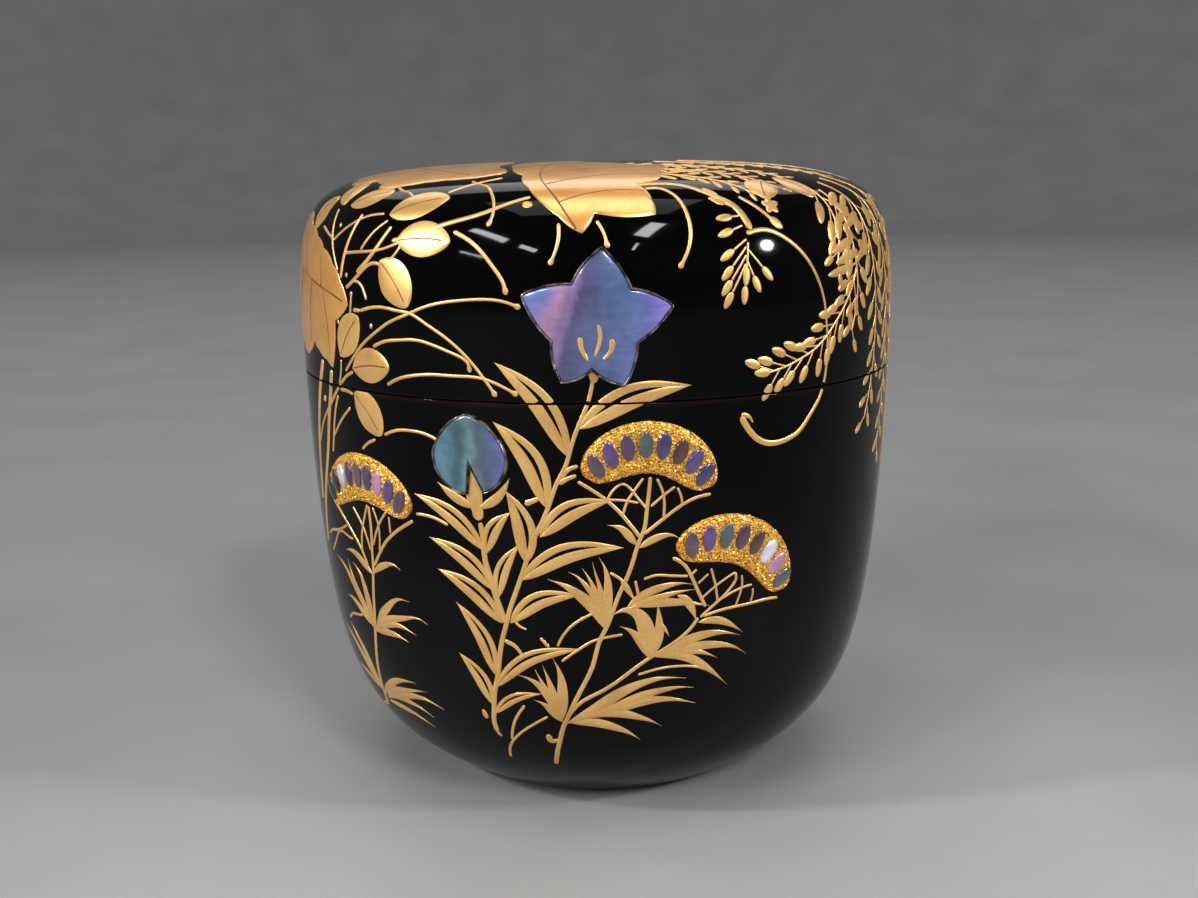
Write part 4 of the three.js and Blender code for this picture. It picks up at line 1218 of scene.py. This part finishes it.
def lobed_leaf(corners, heart):
    """Raised leaf filled from its heart. Formula: each side between corners bows out as a parabola; rings of the edge
    shrink to the heart while the lift eases up from the rim to a flat top. Corners that run clockwise are turned
    round first."""
    edge = []
    corners = flat_top(corners)
    ahead = np.roll(corners, -1, axis=0)
    if np.sum(corners[:, 0] * ahead[:, 1] - ahead[:, 0] * corners[:, 1]) < 0:
        corners = corners[::-1]
    for start, end in zip(corners, np.roll(corners, -1, axis=0)):
        run = end - start
        share = np.linspace(0, 1, max(int(np.hypot(*run) / 0.4), 2), endpoint=False)[:, None]
        edge.append(start + run * share + np.array([run[1], -run[0]]) * LEAF_BOW * 4 * share * (1 - share))
    edge = np.concatenate(edge)
    middle = flat_top([heart])[0]
    shares = np.concatenate([
        [1.0, 1.0, 0.985, 0.96], np.linspace(0.9, 0.05, LEAF_RINGS), [0.05],
    ])[:, None, None]
    lifts = np.concatenate([
        [-GOLD_SINK, 0.03, 0.075, 0.09], np.full(LEAF_RINGS, LEAF_LIFT), [-GOLD_SINK],
    ])[:, None]
    rows = on_lid(middle + (edge - middle) * shares, lifts + 0 * edge[:, 0]).reshape(-1, 3)
    count = len(edge)
    index = np.arange(len(rows)).reshape(-1, count)
    ahead = np.roll(index, -1, axis=1)
    quads = np.stack([index[:-2], ahead[:-2], ahead[1:-1], index[1:-1]], -1).reshape(-1, 4)
    under = np.stack([index[-1], ahead[-1], ahead[0], index[0]], -1)
    cap = np.stack([index[-2], ahead[-2], np.full(count, len(rows))], -1)
    base = np.stack([ahead[-1], index[-1], np.full(count, len(rows) + 1)], -1)
    poles = on_lid(np.stack([middle, middle]), np.array([LEAF_LIFT, -GOLD_SINK]))
    return np.concatenate([rows, poles]), [quads, under, cap, base]


# Each leaf's corners, its heart and its veins, as places
LARGE_LEAVES = {
    "front_leaf": (
        [
            (-2.1, 15.67), (0, 17.62), (10.3, 17.37), (10.1, 19.07), (8.2, 21.87), (11.4, 22.47), (14, 23.77),
            (16, 26.47), (22, 31.47), (14, 30.97), (-4, 37.47), (-14, 41.47), (-32, 35.47), (-24, 29.97),
            (-16.3, 25.37), (-12.7, 21.47), (-6, 17.27),
        ],
        (-5.5, 26.47),
        [
            [
                (-3.1, 16.07), (-4.7, 17.47), (-7.3, 19.87), (-10.2, 22.57), (-12.1, 25.17), (-14, 28.97),
                (-16, 35.47),
            ],
            [(-6.2, 18.87), (-1.5, 20.07), (4, 20.67), (9.2, 20.47)],
            [(-9.6, 22.07), (-3, 23.97), (4, 25.07), (13, 24.77)],
            [(-12.6, 26.07), (-2, 28.47), (8, 29.47), (18, 29.47)],
            [(-14.4, 29.97), (-20, 29.47), (-25, 30.87)], [(-15, 32.47), (-6, 34.47), (-2, 36.77)],
        ],
    ),
    "left_leaf": (
        [
            (-48, 8.37), (-50.2, 10.57), (-53.5, 12.27), (-58, 13.77), (-62.1, 14.87), (-68, 15.97),
            (-74, 17.47), (-80, 15.47), (-84, 11.47), (-79, 9.47), (-76, 4.97), (-70, 2.47), (-66, 2.77),
            (-62.8, 4.07), (-60.2, 3.17), (-56.7, 2.47), (-54.4, 1.77), (-52.5, 6.67),
        ],
        (-62, 8.97),
        [
            [(-49.5, 8.67), (-54, 9.37), (-60, 10.07), (-68, 11.07), (-78, 11.87)],
            [(-57, 9.67), (-55.6, 6.47), (-55.2, 3.07)], [(-63, 10.37), (-64, 7.07), (-65, 3.87)],
            [(-58, 9.87), (-58, 11.67), (-58.6, 13.07)], [(-66, 10.87), (-68, 13.07), (-71, 15.47)],
            [(-70, 11.27), (-72, 8.07), (-74, 6.07)],
        ],
    ),
    "crown_leaf": (
        [
            (-51.5, 22.47), (-49.9, 21.37), (-45.4, 21.37), (-42.2, 22.07), (-38.3, 22.97), (-33.8, 23.77),
            (-29.7, 24.07), (-25.5, 24.87), (-22, 26.97), (-30, 30.47), (-38, 33.47), (-48, 38.47),
            (-72, 39.47), (-85, 35.47), (-98, 29.47), (-88, 27.97), (-86, 23.47), (-76, 23.97), (-66, 21.87),
            (-58, 23.47),
        ],
        (-58, 29.47),
        [
            [(-30, 25.47), (-42, 27.47), (-60, 29.47), (-80, 29.97), (-94, 29.47)],
            [(-46, 28.17), (-47, 25.47), (-48, 23.07)], [(-56, 29.27), (-60, 26.87), (-64, 23.87)],
            [(-50, 28.67), (-46, 31.97), (-47, 35.97)], [(-66, 29.97), (-70, 33.47), (-72, 36.97)],
            [(-70, 30.07), (-76, 27.87), (-82, 25.87)],
        ],
    ),
}
for name, (corners, heart, lines) in LARGE_LEAVES.items():
    leaf_points, leaf_faces = lobed_leaf(corners, heart)
    solid_piece(name, leaf_points, leaf_faces, LEAF_GOLD, "gold", 40)
    for places in lines:
        line, at = drawn(places, on_top=True)
        thin = 0.11 * (1 - 0.5 * at / at[-1])
        veins += band(line, at, thin, -thin, VEIN_LIFT, 5, base=VEIN_BASE)
lay_gold("leaf_veins", veins, VEIN_LACQUER)

# Clover sprays on the right: arching stalks set with rows of small teardrops, and one curling vine. Each drop is
# a touch of thick lacquer under its gold, so that it stands up round.


SPRAY_STALK = 0.3
SPRAY_STEM = 0.18


def spray(places, first, last, count, length, width, start_angle, stem=0.75, on_top=False, taper=0.55):
    """Arching stalk with drops on both sides. Formula: drops stand in two rows between the first and last share of
    the stalk, each on a short stem at the stalk's own direction plus or less an angle that sways a little, and get
    smaller towards the tip. stem is a share of the drop's length, taper the size of the last drop."""
    line, at = drawn(places, on_top=on_top)
    made = line_of(places, SPRAY_STALK, SPRAY_STALK * 0.7, on_top=on_top)
    radius = radius_at(line[:, 1])
    heading = np.degrees(
        np.arctan2(np.gradient(line[:, 1], at), np.gradient(np.radians(line[:, 0]), at) * radius)
    )
    heading = np.degrees(np.unwrap(np.radians(heading)))
    for i, share in enumerate(np.linspace(first, last, count)):
        side = 1 if i % 2 else -1
        az, up, way = (np.interp(share * at[-1], at, v) for v in (line[:, 0], line[:, 1], heading))
        size = 1 - (1 - taper) * (share - first) / max(last - first, 1e-6)
        angle = way + side * (start_angle + 8 * math.sin(i * 2.4))
        reach = stem * size * length
        foot_az = az + math.degrees(reach * math.cos(math.radians(angle)) / float(radius_at(up)))
        foot_up = up + reach * math.sin(math.radians(angle))
        made += line_of([(az, up), (foot_az, foot_up)], SPRAY_STEM)
        made += drop(foot_az, foot_up, angle, length * size, width * size)
    return made


vine += line_of([
    (8.5, 21.87), (13, 22.07), (17.8, 21.37), (19.8, 20.47), (22.6, 19.27), (24.7, 18.27), (26.1, 17.07),
    (27.1, 15.67),
], 0.4, 0.75)
vine += line_of([
    (26.1, 15.27), (29.9, 15.57), (33.4, 14.87), (36.5, 13.67), (38.9, 12.27), (40.7, 10.67), (42.1, 8.87),
    (42.9, 6.67), (43.4, 4.47),
], 0.46, 0.26)
vine += line_of([
    (43.4, 4.57), (43.3, 2.47), (42.8, 0.47), (41.4, -1.33), (39.3, -2.73), (36.8, -4.13), (34.1, -4.73),
    (31.3, -4.93), (28.5, -4.53), (26.1, -3.33), (24.5, -1.93),
], 0.26, 0.66)
vine += line_of([(24.5, -1.83), (25.8, -1.93), (26.8, -2.63)], 0.6, 0.15)
lay_gold("vine", vine)
sprays = []
# Small spray below the left end of the stalk, each drop on a stem from foot to tip
for foot, tip in [
    ((26, 14.77), (23.3, 13.77)), ((25.8, 14.07), (22.9, 12.27)), ((25.6, 13.27), (22.6, 10.97)),
    ((25.4, 12.47), (22.7, 9.87)), ((25.4, 12.27), (25.1, 10.37)), ((25.6, 12.87), (26.8, 11.27)),
    ((25.9, 13.87), (28.6, 12.07)), ((25.6, 16.07), (23.6, 15.67)), ((25.6, 17.07), (23.9, 16.97)),
    ((25, 17.87), (23.4, 18.37)), ((24.2, 18.47), (22.7, 19.47)), ((26.2, 14.47), (25.6, 12.07)),
]:
    angle = math.degrees(math.atan2(tip[1] - foot[1], (tip[0] - foot[0]) * width_per_degree(tip[1])))
    sprays += line_of([foot, tip], 0.22) + drop(*tip, angle, 1.7, 0.74)
sprays += line_of([(26.8, 19.27), (29.9, 17.67), (31.8, 16.57)], 0.4) + drop(31.6, 16.67, -40, 1.6, 0.9)
for petal in range(5):
    sprays += drop(32.7, 18.07, 72 * petal + 15, 1.0, 0.75)
RACHIS = [
    (52.8, 11.27), (51.1, 9.67), (49, 8.07), (46.2, 6.47), (43.4, 5.07), (40.3, 3.87), (36.8, 3.07),
    (33.4, 2.47), (29.9, 2.07),
]
sprays += spray(RACHIS, 0.04, 0.97, 21, 1.9, 0.9, 36, stem=0.95, taper=0.95)
# Broad drops in a row above it, each from its foot to its round end
for foot, end, width in [
    ((52.3, 14.07), (45, 12.97), 1.05), ((53.6, 12.87), (46, 11.87), 1.0), ((50.5, 11.37), (43.6, 10.77), 0.9),
    ((54, 17.37), (48.1, 15.77), 1.1), ((56.6, 16.67), (49.9, 15.17), 1.0),
    ((53, 19.27), (48.5, 17.77), 1.1), ((55.5, 18.77), (51.5, 17.17), 0.9), ((58.5, 13.27), (53, 12.17), 0.9),
]:
    run = np.array([math.radians(end[0] - foot[0]) * float(radius_at(foot[1])), end[1] - foot[1]])
    sprays += drop(*foot, math.degrees(math.atan2(run[1], run[0])), math.hypot(*run), width)
sprays += line_of([(55.5, 12.47), (53, 11.77), (50, 11.37)], 0.25)
sprays += drop(30, 2.07, 178, 1.8, 0.85)
# Dense hanging sprays down the right side
for places, count in [
    ([(49, 19.97), (51.5, 15.97), (52.8, 11.47), (52.4, 7.47), (50.8, 4.97)], 12),
    ([(53, 21.47), (57.5, 17.47), (60.3, 11.47), (61.2, 5.47), (60.2, -0.03), (57.5, -4.53)], 19),
    ([(58, 22.47), (64, 17.97), (67.5, 11.47), (69, 4.47), (68.5, -2.53), (66.5, -8.53)], 22),
    ([(63, 22.97), (70.5, 18.47), (75, 11.97), (77.5, 4.47), (78.5, -3.53), (77.5, -10.53)], 22),
    ([(46, 20.97), (47.6, 17.77), (47.9, 14.47), (46.5, 11.87)], 8),
]:
    sprays += spray(places, 0.12, 0.99, count, 2.5, 1.25, 38, taper=0.6)
# Sprays that run in over the lid's top
for places, count in [
    ([(10, 25.97), (20, 24.47), (27, 21.97), (31, 19.47)], 12),
    ([(8, 28.97), (22, 27.47), (32, 24.47), (38, 20.47)], 16),
    ([(-2, 32.47), (16, 32.47), (34, 28.97), (45, 22.97)], 20),
    ([(30, 37.47), (46, 33.47), (58, 28.47), (66, 22.97)], 18),
    ([(60, 39.47), (72, 33.47), (82, 27.47), (88, 21.47), (91, 15.47)], 22),
]:
    sprays += spray(places, 0.1, 0.98, count, 1.8, 0.85, 36, on_top=True)
lay_gold("sprays", sprays)

# Back: plainer grasses and a few sprays, drawn and sprinkled with the same gold, so that the drawing runs on
# round the caddy. The photograph doesn't show this side.
BACK_STEM = [
    (-9.5, -39.03), (-8.6, -35.53), (-6.4, -30.93), (-3.2, -25.53), (0.6, -19.53), (3.4, -13.53), (5.2, -7.53),
]
BACK_GRASS = [
    [(1, -32.53), (8, -28.53), (15, -27.13), (21, -28.53)],
    [(1, -32.53), (8, -30.53), (14, -30.53), (19, -32.53)],
    [(0.6, -33.53), (-7, -29.53), (-12, -27.53)], [(0.8, -33.13), (-5, -28.13), (-8, -24.53)],
    [(3, -25.53), (9, -21.53), (16, -19.93), (21, -20.93)], [(3, -25.53), (-2, -21.03), (-7, -19.13)],
]
back = []
for shift, mirror, low in [(128, 1, 0.0), (176, -1, -1.5), (-112, 1, 1.0)]:
    back += line_of([(shift + mirror * a, r + low) for a, r in BACK_STEM], 0.6, 0.4)
    for base, tip, width, bulge in [
        ((5.1, -8.53), (2, -1.53), 1.7, 0.1), ((4.4, -11.13), (15, -6.93), 1.8, 0.12),
        ((3, -15.13), (-9, -9.13), 1.9, -0.1), ((1.6, -18.13), (14.5, -14.13), 1.8, 0.12),
        ((-0.6, -21.93), (-14, -16.53), 1.8, -0.1),
        ((-2.4, -24.73), (12.5, -21.13), 1.7, 0.12), ((-5, -28.93), (-17.5, -24.33), 1.6, -0.1),
        ((-7, -32.53), (7.5, -29.13), 1.5, 0.13), ((-8.6, -35.73), (-19, -32.13), 1.2, -0.1),
    ]:
        base, tip = ((shift + mirror * a, r + low) for a, r in (base, tip))
        back += slit_leaf(base, tip, width, mirror * bulge)
for shift in (103, 152, -150):
    back += line_of([
        (shift + a, r) for a, r in [(-2, -38.53), (1, -32.53), (3, -24.53), (3.4, -17.53)]
    ], 0.4, 0.3)
    back += blades([([(shift + a, r) for a, r in places], 1.05) for places in BACK_GRASS])
for places, count in [
    ([(104, 21.47), (110, 15.47), (113, 9.47), (113, 3.47)], 18),
    ([(122, 23.47), (130, 17.47), (134, 10.47), (135, 3.97)], 20),
    ([(-170, 22.47), (-163, 16.97), (-159, 10.47), (-158, 3.97)], 20),
    ([(-130, 22.47), (-124, 16.47), (-121, 10.47), (-121, 4.47)], 18),
    ([(150, 24.47), (156, 18.97), (158, 13.47), (157, 7.47)], 16),
]:
    back += spray(places, 0.14, 0.98, count, 1.8, 0.9, 38)
for places in [
    [(-96, 15.47), (-104, 12.47), (-110, 7.97), (-114, 2.97)],
    [(-98, 19.47), (-108, 16.97), (-118, 13.97), (-126, 13.47)],
    [(176, 21.47), (172, 15.47), (172, 9.47), (176, 4.97)],
]:
    back += line_of(places, 0.5, 0.42, 0.8)
lay_gold("back_grasses", back)

# Table and backdrop: a plain pale matt floor that sweeps up into a wall far behind, the same from every side. It
# is there only for the render.
SWEEP_START = 1150
SWEEP_RADIUS = 450
WALL_TOP = 1200
FLOOR_STEPS = 96


def sweep_profile():
    """Half section of the floor. Formula: level to the sweep's start, then a quarter of a circle up to the wall."""
    turn = np.linspace(0, np.pi / 2, 24)
    sweep = np.stack([SWEEP_START + SWEEP_RADIUS * np.sin(turn), SWEEP_RADIUS * (1 - np.cos(turn))], -1)
    return np.concatenate([sweep, [(SWEEP_START + SWEEP_RADIUS, WALL_TOP)]])


def pale_floor():
    """Pale matt grey, faintly mottled."""
    made, nodes, links, main = shader("pale_floor")
    main.inputs["Roughness"].default_value = 0.5
    place = node(nodes, "ShaderNodeTexCoord")
    mottle = noise(nodes, links, place, 26.0, 6.0)
    stops = [(0.3, (0.29, 0.292, 0.295)), (0.7, (0.33, 0.332, 0.335))]
    shade_by(nodes, links, main, mottle.outputs["Fac"], stops)
    return made


floor_radius, floor_height = (column[:, None] for column in sweep_profile().T)
floor_angle = np.linspace(0, 2 * np.pi, FLOOR_STEPS, endpoint=False)
floor_points = np.stack([
    floor_radius * np.cos(floor_angle), floor_radius * np.sin(floor_angle), floor_height + 0 * floor_angle,
], -1).reshape(-1, 3)
floor_index = np.arange(len(floor_points)).reshape(-1, FLOOR_STEPS)
floor_ahead = np.roll(floor_index, -1, axis=1)
floor_quads = np.stack([floor_index[:-1], floor_ahead[:-1], floor_ahead[1:], floor_index[1:]], -1)
floor_quads = floor_quads[:, :, ::-1].reshape(-1, 4)
floor_mesh = bpy.data.meshes.new("floor")
floor_mesh.from_pydata(
    (floor_points * MILLIMETRE).tolist(), [], floor_quads.tolist() + [floor_index[0].tolist()],
)
floor_mesh.shade_smooth()
floor_mesh.materials.append(pale_floor())
floor = bpy.data.objects.new("floor", floor_mesh)
bpy.context.scene.collection.objects.link(floor)


# Light: a wide soft ceiling and back panel, two small lamps close by whose spots lie on the lid's shoulder, and the
# far ceiling strips whose glints lie between them.
def panel(name, position, size, energy, colour=(1, 1, 1), target=(0, 0, 0.04), shape="RECTANGLE"):
    """Area lamp at a position in metres that faces the target; size is its width and height."""
    light = bpy.data.lights.new(name, "AREA")
    light.shape = shape
    light.size, light.size_y = size
    light.energy = energy
    light.color = colour
    made = bpy.data.objects.new(name, light)
    made.location = position
    made.rotation_euler = (Vector(target) - Vector(position)).to_track_quat("-Z", "Y").to_euler()
    bpy.context.scene.collection.objects.link(made)
    return made


LAMP_WHITE = (1.0, 0.97, 0.93)
LAMP_ENERGY = 0.03
panel("ceiling", (0.0, -0.15, 1.15), (0.9, 0.8), 6.0)
panel("back_panel", (0.0, 0.95, 0.95), (1.4, 0.4), 3.2)
for name, position, size in [
    ("left_lamp", (-0.161, -0.082, 0.118), 0.018), ("right_lamp", (0.1945, -0.0985, 0.1167), 0.02),
]:
    target = (0.1 * position[0], -0.055, 0.04)
    lamp = panel(name, position, (size, size), LAMP_ENERGY, LAMP_WHITE, target, "DISK")
    lamp.data.spread = math.radians(60)
    lamp.visible_camera = False


STRIP_BRIGHTNESS = 45.0
STRIP_TARGET = Vector((0, 0, 0.06))


def strip(name, start, end, width):
    """Straight strip light between two places in metres, turned to face the lid."""
    start, end = Vector(start), Vector(end)
    length = (end - start).length
    made = panel(name, (start + end) / 2, (length, width), STRIP_BRIGHTNESS * math.pi * length * width)
    along = (end - start).normalized()
    back = made.location - STRIP_TARGET
    back = (back - along * back.dot(along)).normalized()
    made.rotation_euler = Matrix((along, back.cross(along), back)).transposed().to_euler()


for number, (start, end, width) in enumerate([
    ((-0.76, -0.593, 0.715), (-0.598, -0.864, 0.579), 0.07),
    ((-0.516, -0.946, 0.527), (-0.415, -1.024, 0.469), 0.045),
    ((-0.883, -0.698, 0.417), (-0.761, -0.848, 0.376), 0.016),
    ((0.313, -0.96, 0.649), (0.405, -0.745, 0.849), 0.11),
    ((0.267, -1.07, 0.473), (0.298, -1.021, 0.555), 0.02),
]):
    strip(f"ceiling_strip_{number + 1}", start, end, width)
world = bpy.data.worlds.new("studio")
world.use_nodes = True
world.node_tree.nodes["Background"].inputs["Color"].default_value = (0.9, 0.95, 1.0, 1)
world.node_tree.nodes["Background"].inputs["Strength"].default_value = 0.06
bpy.context.scene.world = world

# Camera: the photograph's place and lens, with its focal length in pixels of the frame's width and its turns in
# degrees: down from level, to the side and about its own axis.
FOCAL_PIXELS = 1400
FRAME_PIXELS = 1198
SENSOR_WIDTH = 36.0
CAMERA_DOWN = 11.68
CAMERA_ASIDE = -0.044
CAMERA_ROLL = -0.80
lens = bpy.data.cameras.new("camera")
lens.sensor_width = SENSOR_WIDTH
lens.lens = FOCAL_PIXELS / FRAME_PIXELS * SENSOR_WIDTH
camera = bpy.data.objects.new("camera", lens)
camera.location = (0.0, -0.16048, 0.06772)
aim = Euler((math.radians(90 - CAMERA_DOWN), 0.0, math.radians(CAMERA_ASIDE)), "XYZ").to_matrix()
camera.rotation_euler = (aim @ Euler((0, 0, math.radians(CAMERA_ROLL)), "XYZ").to_matrix()).to_euler()
bpy.context.scene.collection.objects.link(camera)
bpy.context.scene.camera = camera
bpy.context.scene.view_settings.view_transform = "Standard"
